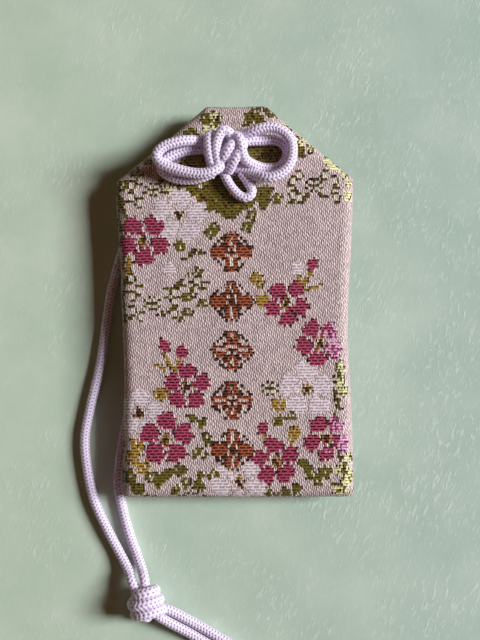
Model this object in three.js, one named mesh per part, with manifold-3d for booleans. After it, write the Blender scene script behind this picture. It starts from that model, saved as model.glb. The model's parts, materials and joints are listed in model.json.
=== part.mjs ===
// Omamori charm: a brocade pouch around a wrapped wooden tablet, tied shut with a braided cord.
// The charm lies face up on its back. Millimetres; +X is right, +Y is towards the pouch's mouth
// and +Z points out of its face. The table is z = 0 and the pouch's centre is x = y = 0.
import * as THREE from "three";
import { mergeVertices } from "three/addons/utils/BufferGeometryUtils.js";
import Module from "manifold-3d";

const wasm = await Module();
wasm.setup();

// Outline of the pouch.
const pouchHeight = 83;
const shoulderWidth = 50;
const bottomWidth = 48.2;
const mouthWidth = 13;
const shoulderDrop = 16;
const cornerCut = 1.6;
const edgeRoll = 2.6;

// Thickness of each layer, from the back panel to the front panel.
const brocade = 0.7;
const lining = 0.4;
const paper = 0.3;
const tabletThickness = 2;
const card = 0.8;
const fit = 0.3;

// Tablet, wrapper and stiffening layers.
const tabletWidth = 26;
const tabletLength = 39;
const tabletCut = 3;
const wrapperOverrun = 1;
const tabletFloor = 6.5;
const seatMargin = 0.5;
const liningInset = 3;
const cardInset = 4;
const liningDrop = 3.5;
const cardDrop = 2;

// Seam between the two panels, and its thread.
const seamShare = 0.65;
const seamGroove = 0.9;
const seamThread = 0.3;
const stitchLength = 5;
const tuckThickness = 0.6;
const tuckInset = 1.8;

// Cord, its hole through the pouch, and the bow tied on the face.
const cordDiameter = 2.3;
const holeX = -1.9;
const holeDrop = 10.5;
const pulledTight = 0.83;
const hangingBend = 3.1;
const tailLength = 24;
const stopKnotTurns = 2.5;
const stopKnotGap = 0.45;
const stopKnotWidth = 7.8;

// Heights that follow from the layers.
const backLiningFloor = brocade + fit;
const wrapperFloor = backLiningFloor + lining + fit;
const tabletHeight = wrapperFloor + paper + fit;
const wrapperTop = tabletHeight + tabletThickness + fit + paper;
const cardFloor = wrapperTop + fit;
const frontLiningFloor = cardFloor + card + fit;
const faceInside = frontLiningFloor + lining + fit;
const face = faceInside + brocade;
const seam = seamShare * face;

// Places that follow from the outline and the tablet.
const bottomY = -pouchHeight / 2;
const mouthY = pouchHeight / 2;
const shoulderY = mouthY - shoulderDrop;
const liningTop = shoulderY - liningDrop;
const cardTop = liningTop - cardDrop;
const holeY = mouthY - holeDrop;
const tabletMiddle = bottomY + tabletFloor + tabletLength / 2;
const wrapperHalf = tabletWidth / 2 + fit + paper;
const wrapperLength = tabletLength + 2 * wrapperOverrun;
const outline = [
  [bottomWidth / 2, bottomY],
  [shoulderWidth / 2, shoulderY],
  [mouthWidth / 2, mouthY],
  [-mouthWidth / 2, mouthY],
  [-shoulderWidth / 2, shoulderY],
  [-bottomWidth / 2, bottomY],
];
const seatHalf = wrapperHalf + seatMargin;
const seatBottom = tabletMiddle - wrapperLength / 2 - seatMargin;
const seatTop = tabletMiddle + wrapperLength / 2 + seatMargin;
const seat = [
  [seatHalf, seatBottom],
  [seatHalf, seatTop],
  [mouthWidth / 2, seatTop + 2],
  [-mouthWidth / 2, seatTop + 2],
  [-seatHalf, seatTop],
  [-seatHalf, seatBottom],
];

const cloth = { roughness: 0.75, metalness: 0 };
const brocadeLook = { color: 0xc8b2a6, ...cloth };
const cordLook = { color: 0xe8def3, ...cloth };

const charm = new THREE.Group();

function addPart(name, geometry, look) {
  const mesh = new THREE.Mesh(geometry, new THREE.MeshStandardMaterial(look));
  mesh.name = name;
  charm.add(mesh);
  return mesh;
}

function solidOf(geometry) {
  const bare = geometry.clone();
  bare.deleteAttribute("normal");
  bare.deleteAttribute("uv");
  const merged = mergeVertices(bare, 1e-4);
  return new wasm.Manifold(
    new wasm.Mesh({
      numProp: 3,
      vertProperties: new Float32Array(merged.attributes.position.array),
      triVerts: new Uint32Array(merged.index.array),
    }),
  );
}

function cutFrom(geometry, tool) {
  const mesh = solidOf(geometry).subtract(solidOf(tool)).getMesh();
  const result = new THREE.BufferGeometry();
  result.setAttribute("position", new THREE.BufferAttribute(mesh.vertProperties, 3));
  result.setIndex(new THREE.BufferAttribute(mesh.triVerts, 1));
  result.computeVertexNormals();
  return result;
}

// A convex outline moved inwards by the same distance on every side.
function movedIn(corners, distance) {
  const count = corners.length;
  return corners.map((corner, i) => {
    const before = corners[(i + count - 1) % count];
    const after = corners[(i + 1) % count];
    const a = new THREE.Vector2(corner[0] - before[0], corner[1] - before[1]).normalize();
    const b = new THREE.Vector2(after[0] - corner[0], after[1] - corner[1]).normalize();
    const slide = distance * Math.tan(Math.acos(THREE.MathUtils.clamp(a.dot(b), -1, 1)) / 2);
    return [corner[0] - a.y * distance - a.x * slide, corner[1] + a.x * distance - a.y * slide];
  });
}

// A ring of points at one height, with three points around each corner.
function ringOf(corners, height, cut) {
  const count = corners.length;
  return corners.flatMap((corner, i) => {
    const point = new THREE.Vector3(corner[0], corner[1], height);
    const towards = (other) =>
      new THREE.Vector3(other[0], other[1], height).sub(point).setLength(cut).add(point);
    const first = towards(corners[(i + count - 1) % count]);
    const last = towards(corners[(i + 1) % count]);
    const middle = first.clone().add(last).multiplyScalar(0.25).addScaledVector(point, 0.5);
    return [first, middle, last];
  });
}

// The pouch's surfaces, moved into the pouch by a depth: rolled edge, seam line and back seat.
const seamHeightAt = (depth) => seam + 0.65 * depth;
const seamRing = (depth, height) => ringOf(movedIn(outline, depth), height, cornerCut);
const seatRing = (depth) => ringOf(movedIn(seat, 0.2 * depth), depth, cornerCut / 3);

function rollRings(depth, edgeHeight, steps) {
  const rings = [];
  for (let i = 0; i <= steps; i += 1) {
    const angle = (i / steps) * (Math.PI / 2);
    const inset = edgeRoll - (edgeRoll - depth) * Math.sin(angle);
    const height = edgeHeight + (face - depth - edgeHeight) * Math.cos(angle);
    rings.push(seamRing(inset, height));
  }
  return rings;
}

function partWay(from, to, share) {
  return from.map((point, i) => point.clone().lerp(to[i], share));
}

// A closed solid through a run of rings, capped at the first and the last.
function loft(rings) {
  const size = rings[0].length;
  const points = rings.flat();
  const faces = [];
  for (let r = 0; r + 1 < rings.length; r += 1) {
    for (let i = 0; i < size; i += 1) {
      const next = (i + 1) % size;
      const [a, d] = [r * size + i, r * size + next];
      const [b, c] = [a + size, d + size];
      faces.push(a, b, c, a, c, d);
    }
  }
  const middleOf = (ring) => {
    const middle = new THREE.Vector3();
    ring.forEach((point) => middle.addScaledVector(point, 1 / size));
    return middle;
  };
  const last = (rings.length - 1) * size;
  const top = points.push(middleOf(rings[0])) - 1;
  const end = points.push(middleOf(rings[rings.length - 1])) - 1;
  for (let i = 0; i < size; i += 1) {
    const next = (i + 1) % size;
    faces.push(top, i, next, end, last + next, last + i);
  }
  const geometry = new THREE.BufferGeometry().setFromPoints(points);
  geometry.setIndex(faces);
  geometry.computeVertexNormals();
  return geometry;
}

function shapeOf(corners) {
  return new THREE.Shape(corners.map(([x, y]) => new THREE.Vector2(x, y)));
}

function plate(corners, floor, thickness) {
  const geometry = new THREE.ExtrudeGeometry(shapeOf(corners), {
    depth: thickness,
    bevelEnabled: false,
  });
  return geometry.translate(0, 0, floor);
}

function tube(curve, diameter, steps, sides = 8) {
  const section = new THREE.Shape().absarc(0, 0, diameter / 2, 0, 2 * Math.PI, false);
  return new THREE.ExtrudeGeometry(section, {
    steps,
    curveSegments: sides / 2,
    extrudePath: curve,
  });
}

function route(points) {
  const vectors = points.map(([x, y, z]) => new THREE.Vector3(x, y, z));
  return new THREE.CatmullRomCurve3(vectors, false, "centripetal");
}

// Front and back panels, each a tray of brocade, with the cord hole through both.
const cordHole = new THREE.CylinderGeometry(cordDiameter + 0.45, cordDiameter + 0.45, 4 * face, 24);
cordHole.rotateX(Math.PI / 2);
cordHole.translate(holeX, holeY, 0);

const frontEdge = seam + seamGroove / 2;
const frontEdgeInside = seamHeightAt(brocade) + seamGroove / 2;
const frontTray = loft([
  ...rollRings(0, frontEdge, 5),
  ...rollRings(brocade, frontEdgeInside, 3).reverse(),
]);
addPart("brocade_front", cutFrom(frontTray, cordHole), brocadeLook);

const backEdge = seam - seamGroove / 2;
const backTray = loft([
  seatRing(brocade),
  seamRing(brocade, seamHeightAt(brocade) - seamGroove / 2),
  seamRing(0, backEdge),
  seatRing(0),
]);
addPart("brocade_back", cutFrom(backTray, cordHole), brocadeLook);

// Stiff lining on the inside of each panel, stopping short of the tucked corners.
function panelCorners(inset, top) {
  const moved = movedIn(outline, inset);
  const rise = (top - moved[0][1]) / (moved[1][1] - moved[0][1]);
  const half = moved[0][0] + rise * (moved[1][0] - moved[0][0]);
  return [moved[0], [half, top], [-half, top], moved[5]];
}

const slopeShare = 0.7;
const liningSlope = (depth) =>
  partWay(seatRing(depth), seamRing(depth, seamHeightAt(depth)), slopeShare);
const backLining = loft([
  seatRing(backLiningFloor + lining),
  liningSlope(backLiningFloor + lining),
  liningSlope(backLiningFloor),
  seatRing(backLiningFloor),
]);
const aboveLining = new THREE.BoxGeometry(2 * shoulderWidth, pouchHeight, 4 * face);
aboveLining.translate(0, liningTop + pouchHeight / 2, 0);
const liningLook = { color: 0xe9e4d8, ...cloth };
addPart("lining_back", cutFrom(backLining, aboveLining), liningLook);
const frontLining = plate(panelCorners(liningInset, liningTop), frontLiningFloor, lining);
addPart("lining_front", frontLining, liningLook);

// Stiffening card behind the face.
const cardPlate = plate(panelCorners(cardInset, cardTop), cardFloor, card);
addPart("stiffener_card", cardPlate, { color: 0xd9cdb8, ...cloth });

// Wooden tablet in its folded paper wrapper, whose edges meet along the back.
const half = tabletWidth / 2;
const tabletEnd = tabletMiddle + tabletLength / 2;
const tabletStart = tabletMiddle - tabletLength / 2;
const tablet = plate(
  [
    [-half, tabletStart],
    [half, tabletStart],
    [half, tabletEnd - tabletCut],
    [half - tabletCut, tabletEnd],
    [tabletCut - half, tabletEnd],
    [-half, tabletEnd - tabletCut],
  ],
  tabletHeight,
  tabletThickness,
);
addPart("wooden_tablet", tablet, { color: 0xd8b88a, roughness: 0.6, metalness: 0 });

const wrapperIn = wrapperHalf - paper;
const wrapperMeet = fit;
const wrapper = new THREE.ExtrudeGeometry(
  shapeOf([
    [wrapperMeet, wrapperFloor],
    [wrapperHalf, wrapperFloor],
    [wrapperHalf, wrapperTop],
    [-wrapperHalf, wrapperTop],
    [-wrapperHalf, wrapperFloor],
    [-wrapperMeet, wrapperFloor],
    [-wrapperMeet, wrapperFloor + paper],
    [-wrapperIn, wrapperFloor + paper],
    [-wrapperIn, wrapperTop - paper],
    [wrapperIn, wrapperTop - paper],
    [wrapperIn, wrapperFloor + paper],
    [wrapperMeet, wrapperFloor + paper],
  ]),
  { depth: wrapperLength, bevelEnabled: false },
);
wrapper.rotateX(Math.PI / 2);
wrapper.translate(0, tabletMiddle + wrapperLength / 2, 0);
addPart("tablet_wrapper", wrapper, { color: 0xf2efe6, ...cloth });

// Corners of the strip folded in along each slanted shoulder, lying between the two panels.
function tuckCorners() {
  const [, shoulder, mouth] = movedIn(outline, tuckInset);
  const along = new THREE.Vector2(mouth[0] - shoulder[0], mouth[1] - shoulder[1]);
  const corner = new THREE.Vector2(shoulder[0], mouth[1]);
  const from = new THREE.Vector2(shoulder[0], shoulder[1]);
  const foot = along.clone().multiplyScalar(corner.clone().sub(from).dot(along) / along.lengthSq());
  const folded = foot.add(from).multiplyScalar(2).sub(corner);
  return [shoulder, mouth, [folded.x, folded.y]];
}
const tuckFloor = faceInside - tuckThickness - 1.5 * fit;
const rightTuck = tuckCorners();
const leftTuck = rightTuck.map(([x, y]) => [-x, y]);
addPart("right_shoulder_tuck", plate(rightTuck, tuckFloor, tuckThickness), brocadeLook);
addPart("left_shoulder_tuck", plate(leftTuck, tuckFloor, tuckThickness), brocadeLook);

// Ladder stitches that run in and out along the groove of each side seam.
class SeamStitches extends THREE.Curve {
  constructor(side) {
    super();
    this.side = side;
    this.start = bottomY + 2 * cornerCut;
    this.run = shoulderY - cornerCut - this.start;
    this.count = Math.round(this.run / stitchLength);
  }

  getPoint(t, target = new THREE.Vector3()) {
    const y = this.start + t * this.run;
    const rise = (y - bottomY) / (shoulderY - bottomY);
    const edge = bottomWidth / 2 + (rise * (shoulderWidth - bottomWidth)) / 2;
    const depth = brocade / 2 - 0.2 * Math.cos(2 * Math.PI * this.count * t);
    return target.set(this.side * (edge - depth), y, seam + 0.2 * brocade);
  }
}
const threadLook = { color: 0x8c7a70, ...cloth };
for (const [name, side] of [["right_seam_thread", 1], ["left_seam_thread", -1]]) {
  const stitches = new SeamStitches(side);
  addPart(name, tube(stitches, seamThread, 6 * stitches.count, 6), threadLook);
}

// The knot: four doubled passes of cord, each over the next and under the one before.
const knotCord = pulledTight * cordDiameter;
const knotPitch = 1.1 * knotCord;
const knotRise = 1.7 * knotCord;
const knotInner = 0.8 * knotCord;
const knotOuter = knotInner + knotPitch;
const knotLow = face + fit + knotCord / 2;
const knotHigh = knotLow + knotRise;
const knotReach = knotOuter + knotCord;

function passCurve(offset) {
  return route([
    [-offset, knotReach, knotLow + 0.45 * knotRise],
    [-offset, knotOuter + 0.55 * knotCord, knotHigh - 0.25 * knotRise],
    [-offset, knotOuter - 0.1 * knotCord, knotHigh],
    [-offset, knotInner, knotHigh],
    [-offset, 0, (knotLow + knotHigh) / 2],
    [-offset, -knotInner, knotLow],
    [-offset, -knotOuter, knotLow],
    [-offset, -knotOuter - 0.7 * knotCord, knotLow],
  ]);
}
["left", "lower", "right", "upper"].forEach((side, turn) => {
  for (const [lie, offset] of [["inner", knotInner], ["outer", knotOuter]]) {
    const pass = addPart(`knot_${side}_pass_${lie}`, tube(passCurve(offset), knotCord, 18), cordLook);
    pass.position.set(holeX, holeY, 0);
    pass.rotation.z = (turn * Math.PI) / 2;
  }
});

// The bow's ears, whose points are measured from the knot's middle, one cord above another.
const earLow = face + fit + cordDiameter / 2;
const earHigh = earLow + cordDiameter + fit;
const earRoot = knotReach + cordDiameter / 2;

function ear(name, height, points) {
  const placed = points.map(([x, y]) => [holeX + x, holeY + y, height]);
  addPart(name, tube(route(placed), cordDiameter, 28), cordLook);
}

// Points on the round tip of an ear, between two angles in degrees.
function tip(x, y, radius, from, to) {
  const steps = Math.round(Math.abs(to - from) / 30);
  return Array.from({ length: steps + 1 }, (_, step) => {
    const angle = THREE.MathUtils.degToRad(from + ((to - from) * step) / steps);
    return [x + radius * Math.cos(angle), y + radius * Math.sin(angle)];
  });
}
ear("left_ear_upper_turn", earHigh, [
  [-earRoot, 1.8], [-8.4, 1.7], [-10.4, 1.3], ...tip(-12.4, -1.35, 2.15, 103, 258),
  [-10.6, -3.95], [-8.8, -4.4], [-earRoot, -4.8],
]);
ear("left_ear_lower_turn", earLow, [
  [-earRoot, 0.5], [-8.4, 0.2], [-10.4, -0.35], ...tip(-11.75, -3, 2.05, 110, 255),
  [-9.9, -5.6], [-8.3, -5.85], [-earRoot, -5.8],
]);
ear("right_ear_outer_turn", earHigh, [
  [earRoot, 3.9], [8.4, 4.3], [10.2, 4.2], [11.8, 3.5], [13.2, 2.1], [13.8, 0.1], [13.6, -2],
  [12.7, -4.1], [11, -5.6], [8.9, -6.2], [earRoot, -5.7],
]);
ear("right_ear_inner_turn", earLow, [
  [earRoot, 2], [8.5, 2.3], [10.5, 2.3], [12.1, 1.4], [12.8, -0.2], [12.5, -2.1],
  [11.3, -3.4], [9.1, -3.8], [earRoot, -3.3],
]);
ear("lower_ear", earLow, [
  [0.26, -earRoot], [1.37, -8.05], ...tip(3.75, -8.45, 1.6, 219, 399), [4.38, -earRoot],
]);

// The two hanging strands: down through the hole, out under the pouch's left margin, along the
// table and up into the stop knot.
const onTable = cordDiameter / 2;
const holeSide = cordDiameter / 2 + fit / 2;
const leave = new THREE.Vector2(-0.93, -0.37).normalize();

function strand(name, side, layPoints, steps) {
  const topX = holeX + side * holeSide * leave.y;
  const topY = holeY - side * holeSide * leave.x;
  const down = [[topX, topY, face], [topX, topY, (face + onTable + hangingBend) / 2]];
  for (const angle of [0, Math.PI / 6, Math.PI / 3, Math.PI / 2]) {
    const out = hangingBend * (1 - Math.cos(angle));
    const height = onTable + hangingBend * (1 - Math.sin(angle));
    down.push([topX + out * leave.x, topY + out * leave.y, height]);
  }
  const lay = layPoints.map(([x, y, lift = 0]) => [x, y, onTable + lift]);
  addPart(name, tube(route([...down, ...lay]), cordDiameter, steps), cordLook);
}
strand("hanging_strand_outer", 1, [
  [-9, 29.9], [-13.5, 27.8], [-18, 24.2], [-21.8, 19], [-24.2, 13.6], [-25.6, 9.5],
  [-27.4, 2.5], [-28.6, -5.4], [-29.7, -13], [-32, -22.9], [-33.1, -29.4], [-32.7, -35],
  [-31.1, -42.4], [-28.2, -48.8], [-25.4, -54], [-23.3, -57.6, 1.2], [-22.4, -59.6, 2.6],
], 64);
strand("hanging_strand_inner", -1, [
  [-8, 27], [-12.5, 24.6], [-17, 20.6], [-20.2, 15.2], [-21.6, 8], [-22.2, 0],
  [-22.2, -8], [-22.4, -16], [-23.2, -22.5], [-24.4, -27.5], [-25.5, -34.3], [-25.8, -39],
  [-25, -43.9], [-23.5, -49.6], [-22, -53.6], [-20.6, -57, 1.2], [-19.9, -58.8, 2.6],
], 64);

// The stop knot: the doubled cord wound round itself, drawn as one winding.
const knotAxis = new THREE.Vector3(0.35, -0.937, 0).normalize();
const knotAcross = new THREE.Vector3(0.937, 0.35, 0).normalize();
const stopKnotRadius = (stopKnotWidth - cordDiameter) / 2;
const stopKnotPitch = cordDiameter + stopKnotGap;
const stopKnotMiddle = new THREE.Vector3(-19.4, -63.9, stopKnotWidth / 2);

class Winding extends THREE.Curve {
  getPoint(t, target = new THREE.Vector3()) {
    const angle = 2 * Math.PI * stopKnotTurns * (t - 0.5);
    return target
      .copy(stopKnotMiddle)
      .addScaledVector(knotAxis, stopKnotTurns * stopKnotPitch * (t - 0.5))
      .addScaledVector(knotAcross, stopKnotRadius * Math.cos(angle))
      .add(new THREE.Vector3(0, 0, -stopKnotRadius * Math.sin(angle)));
  }
}
const winding = new Winding();
addPart("stop_knot", tube(winding, cordDiameter, Math.round(24 * stopKnotTurns), 6), cordLook);

// The least gap between neighbouring turns, measured on points a turn or more apart.
const spots = winding.getSpacedPoints(240);
let closest = Infinity;
for (let i = 0; i < spots.length; i += 1) {
  for (let j = i + Math.round(170 / stopKnotTurns); j < spots.length; j += 1) {
    closest = Math.min(closest, spots[i].distanceTo(spots[j]));
  }
}
console.log(`stop knot: least gap between its turns ${(closest - cordDiameter).toFixed(2)} mm`);

// Two cut tails that leave the stop knot side by side and lie along the table.
const tailWay = new THREE.Vector2(0.861, -0.509).normalize();
function tail(name, side) {
  const start = 0.68 * stopKnotWidth;
  const apart = side * (cordDiameter / 2 + fit / 2);
  const at = (distance, lift) => [
    stopKnotMiddle.x + distance * tailWay.x - apart * tailWay.y,
    stopKnotMiddle.y + distance * tailWay.y + apart * tailWay.x,
    onTable + lift,
  ];
  const points = [
    at(start, 1.6),
    at(start + 0.25 * tailLength, 0.3),
    at(start + 0.5 * tailLength, 0),
    at(start + tailLength, 0),
  ];
  addPart(name, tube(route(points), cordDiameter, 10), cordLook);
}
tail("tail_outer", -1);
tail("tail_inner", 1);

export default charm;
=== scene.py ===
# %% [markdown]
# # A brocade charm pouch with a braided cord
# The charm lies face up on a table: a stiffened pouch of woven brocade, closed by a white
# braided cord that is tied in a bow on the face and hangs in two strands to a stop knot.
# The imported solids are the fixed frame. Every visible soft piece is made here in the place of
# its solid, in the same frame, in metres.

# %% Load the frame
import json
import math

import bmesh
import bpy
import numpy as np
from mathutils import Vector
from mathutils.bvhtree import BVHTree
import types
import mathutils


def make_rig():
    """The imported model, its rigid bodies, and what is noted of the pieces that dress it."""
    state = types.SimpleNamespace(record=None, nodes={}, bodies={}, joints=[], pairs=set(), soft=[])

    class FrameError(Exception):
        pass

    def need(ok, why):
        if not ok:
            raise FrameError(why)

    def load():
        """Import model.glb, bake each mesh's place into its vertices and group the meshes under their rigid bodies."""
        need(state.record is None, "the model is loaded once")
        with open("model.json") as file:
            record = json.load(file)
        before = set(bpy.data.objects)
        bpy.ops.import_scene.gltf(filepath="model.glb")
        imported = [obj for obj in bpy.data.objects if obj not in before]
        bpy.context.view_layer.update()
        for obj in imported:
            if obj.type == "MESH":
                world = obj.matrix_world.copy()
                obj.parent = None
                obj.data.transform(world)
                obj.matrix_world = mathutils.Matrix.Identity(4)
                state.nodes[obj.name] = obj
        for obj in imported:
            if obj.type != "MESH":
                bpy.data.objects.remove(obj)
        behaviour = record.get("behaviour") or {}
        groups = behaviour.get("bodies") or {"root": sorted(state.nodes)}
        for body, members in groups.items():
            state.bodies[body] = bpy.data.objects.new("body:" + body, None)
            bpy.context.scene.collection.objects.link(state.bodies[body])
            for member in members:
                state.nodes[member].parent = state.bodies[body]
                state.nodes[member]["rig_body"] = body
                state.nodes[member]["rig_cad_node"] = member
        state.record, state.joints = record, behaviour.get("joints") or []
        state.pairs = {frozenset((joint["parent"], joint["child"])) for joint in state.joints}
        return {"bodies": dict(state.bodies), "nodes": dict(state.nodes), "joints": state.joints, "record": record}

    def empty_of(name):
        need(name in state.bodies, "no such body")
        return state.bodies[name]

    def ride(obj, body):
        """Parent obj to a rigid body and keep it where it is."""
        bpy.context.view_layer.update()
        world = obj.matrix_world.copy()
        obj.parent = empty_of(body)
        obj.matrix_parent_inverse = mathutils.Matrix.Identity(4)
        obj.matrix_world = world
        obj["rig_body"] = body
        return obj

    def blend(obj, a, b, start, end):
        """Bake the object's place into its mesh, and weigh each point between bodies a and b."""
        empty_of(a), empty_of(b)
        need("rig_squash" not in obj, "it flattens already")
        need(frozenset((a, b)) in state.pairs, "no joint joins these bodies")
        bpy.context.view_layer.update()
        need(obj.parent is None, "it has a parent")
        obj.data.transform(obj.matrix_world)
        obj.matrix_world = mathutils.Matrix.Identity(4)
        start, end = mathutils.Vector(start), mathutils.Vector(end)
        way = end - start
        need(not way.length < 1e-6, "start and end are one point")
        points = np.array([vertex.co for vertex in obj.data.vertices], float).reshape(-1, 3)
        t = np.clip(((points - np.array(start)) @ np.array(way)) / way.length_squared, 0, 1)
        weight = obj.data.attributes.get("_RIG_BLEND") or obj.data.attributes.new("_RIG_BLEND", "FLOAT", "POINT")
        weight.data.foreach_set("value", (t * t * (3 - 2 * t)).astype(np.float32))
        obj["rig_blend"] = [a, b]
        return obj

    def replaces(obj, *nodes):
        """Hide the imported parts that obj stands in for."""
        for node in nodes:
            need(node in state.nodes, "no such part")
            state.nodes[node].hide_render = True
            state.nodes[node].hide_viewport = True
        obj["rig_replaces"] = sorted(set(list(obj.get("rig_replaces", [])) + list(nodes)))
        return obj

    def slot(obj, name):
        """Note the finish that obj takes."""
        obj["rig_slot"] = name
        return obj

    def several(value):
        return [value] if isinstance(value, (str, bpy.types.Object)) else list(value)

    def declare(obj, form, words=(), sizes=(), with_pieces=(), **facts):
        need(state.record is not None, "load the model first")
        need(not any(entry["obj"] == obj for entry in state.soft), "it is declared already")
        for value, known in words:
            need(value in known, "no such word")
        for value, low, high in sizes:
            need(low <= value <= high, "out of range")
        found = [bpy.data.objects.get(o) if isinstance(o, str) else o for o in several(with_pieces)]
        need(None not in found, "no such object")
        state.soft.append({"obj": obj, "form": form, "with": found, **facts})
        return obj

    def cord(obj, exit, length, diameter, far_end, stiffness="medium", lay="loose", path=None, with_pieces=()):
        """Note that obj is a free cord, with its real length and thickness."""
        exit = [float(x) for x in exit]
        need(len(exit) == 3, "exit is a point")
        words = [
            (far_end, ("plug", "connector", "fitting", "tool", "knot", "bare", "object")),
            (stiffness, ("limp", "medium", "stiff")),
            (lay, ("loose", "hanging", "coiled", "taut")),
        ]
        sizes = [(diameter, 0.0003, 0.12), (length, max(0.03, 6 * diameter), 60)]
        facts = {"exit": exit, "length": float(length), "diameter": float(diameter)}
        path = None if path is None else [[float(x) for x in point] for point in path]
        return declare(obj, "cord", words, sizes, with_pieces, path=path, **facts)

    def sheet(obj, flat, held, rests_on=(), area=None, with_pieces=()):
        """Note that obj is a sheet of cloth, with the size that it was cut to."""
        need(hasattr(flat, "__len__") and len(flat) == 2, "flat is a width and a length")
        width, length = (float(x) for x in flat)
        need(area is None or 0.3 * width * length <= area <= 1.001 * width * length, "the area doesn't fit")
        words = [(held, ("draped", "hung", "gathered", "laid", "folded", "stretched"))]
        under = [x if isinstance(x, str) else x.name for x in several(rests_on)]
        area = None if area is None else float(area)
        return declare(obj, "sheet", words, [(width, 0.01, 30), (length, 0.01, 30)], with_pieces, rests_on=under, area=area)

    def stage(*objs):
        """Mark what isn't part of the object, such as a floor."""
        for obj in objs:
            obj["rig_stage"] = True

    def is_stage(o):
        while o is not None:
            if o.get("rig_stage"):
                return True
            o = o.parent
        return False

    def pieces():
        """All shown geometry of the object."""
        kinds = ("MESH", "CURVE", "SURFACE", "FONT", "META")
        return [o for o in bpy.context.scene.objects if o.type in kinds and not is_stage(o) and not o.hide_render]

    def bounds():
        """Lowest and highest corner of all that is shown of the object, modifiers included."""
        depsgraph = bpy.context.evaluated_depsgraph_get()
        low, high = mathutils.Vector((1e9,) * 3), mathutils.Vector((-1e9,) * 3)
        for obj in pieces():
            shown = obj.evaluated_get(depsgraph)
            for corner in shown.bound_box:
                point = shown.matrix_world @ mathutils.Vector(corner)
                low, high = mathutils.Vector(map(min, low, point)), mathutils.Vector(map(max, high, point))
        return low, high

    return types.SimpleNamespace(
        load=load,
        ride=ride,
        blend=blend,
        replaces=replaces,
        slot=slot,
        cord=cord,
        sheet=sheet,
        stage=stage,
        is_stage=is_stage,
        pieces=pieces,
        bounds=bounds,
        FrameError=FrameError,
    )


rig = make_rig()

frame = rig.load()
cad_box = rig.bounds()
scene = bpy.context.scene
scene.view_settings.view_transform = "Standard"
MM = 0.001
print("frame:", len(frame["nodes"]), "solids on", len(frame["bodies"]), "bodies")

# %% [markdown]
# ## Helpers for pieces
# Every piece is put into the scene and given a finish and a slot in the same way, so that is
# written once.

# %% Helpers for pieces
def show(name, data):
    """Puts a mesh, a camera or a lamp into the scene."""
    thing = bpy.data.objects.new(name, data)
    scene.collection.objects.link(thing)
    return thing


def dress(piece, finish, slot, nodes, body=None):
    """Gives a piece its finish and its slot, and names the body and the solids it stands for."""
    piece.data.materials.append(finish)
    if body:
        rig.ride(piece, body)
    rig.replaces(piece, *nodes)
    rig.slot(piece, slot)
    return piece


def read(items, field, width=1, kind=float):
    """One field of all vertices, corners, edges or faces, as an array."""
    values = np.empty(len(items) * width, kind)
    items.foreach_get(field, values)
    return values.reshape(-1, width) if width > 1 else values


def unit(*parts):
    return np.array(parts) / np.linalg.norm(parts)


print("helpers for pieces ready")

# %% [markdown]
# ## Camera
# The photograph was taken by hand from above, a little below the pouch's middle. Its place was
# solved from the pouch's corners, so the camera is simply set there. Blender's automatic sensor
# fit gives the 38 degrees to the long, upright side of the picture.

# %% Camera
camera_data = bpy.data.cameras.new("photo_camera")
camera_data.angle = math.radians(38)
camera_data.clip_start, camera_data.clip_end = 0.01, 10
camera = show("photo_camera", camera_data)
camera.location = Vector((5.568, -18.173, 202.075)) * MM
camera.rotation_euler = [math.radians(turn) for turn in (3.993, 1.46, -0.341)]
scene.camera = camera
print("camera at", [round(x / MM) for x in camera.location], "mm")

# %% [markdown]
# ## Helpers for node trees
# Materials are small graphs of nodes. Short helpers add a node to the tree that was opened last,
# fill its sockets with numbers or with other nodes' outputs, and give back the output to use.

# %% Node helpers
tree = None


def fill(node, inputs):
    for name, value in dict(inputs).items():
        if isinstance(value, bpy.types.NodeSocket):
            node.id_data.links.new(value, node.inputs[name])
        else:
            node.inputs[name].default_value = value
    return node


def add_node(kind, inputs=(), **settings):
    node = tree.nodes.new("ShaderNode" + kind)
    for name, value in settings.items():
        setattr(node, name, value)
    return fill(node, inputs)


def calc(operation, *values):
    return add_node("Math", enumerate(values), operation=operation).outputs[0]


def vector(operation, *values):
    node = add_node("VectorMath", enumerate(values), operation=operation)
    return node.outputs["Value" if operation == "DOT_PRODUCT" else "Vector"]


def mix_colour(share, first, second, blend="MIX"):
    sockets = {0: share, 6: first, 7: second}
    return add_node("Mix", sockets, data_type="RGBA", blend_type=blend).outputs[2]


def dimmed(colour, level):
    grey = add_node("CombineColor", {part: level for part in ("Red", "Green", "Blue")})
    return mix_colour(1.0, colour, grey.outputs[0], "MULTIPLY")


def ramp(value, low, high, bottom=0.0, top=1.0):
    sockets = {"Value": value, "From Min": low, "From Max": high, "To Min": bottom, "To Max": top}
    return add_node("MapRange", sockets, interpolation_type="SMOOTHSTEP").outputs["Result"]


def noise(place, scale, detail, **more):
    sockets = {"Vector": place, "Scale": scale, "Detail": detail, **more}
    return add_node("TexNoise", sockets).outputs


def bump(height, strength, distance):
    sockets = {"Height": height, "Strength": strength, "Distance": distance * MM}
    return add_node("Bump", sockets).outputs["Normal"]


def object_place():
    return add_node("TexCoord").outputs["Object"]


def srgb(red, green, blue):
    parts = [x / 255 for x in (red, green, blue)]
    return [x / 12.92 if x < 0.0405 else ((x + 0.055) / 1.055) ** 2.4 for x in parts] + [1.0]


def new_material(name, **constants):
    """Opens a new material and gives it back with its shader node."""
    global tree
    material = bpy.data.materials.new(name)
    material.use_nodes = True
    tree = material.node_tree
    sockets = {socket.replace("_", " "): value for socket, value in constants.items()}
    return material, fill(tree.nodes["Principled BSDF"], sockets)


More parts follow.
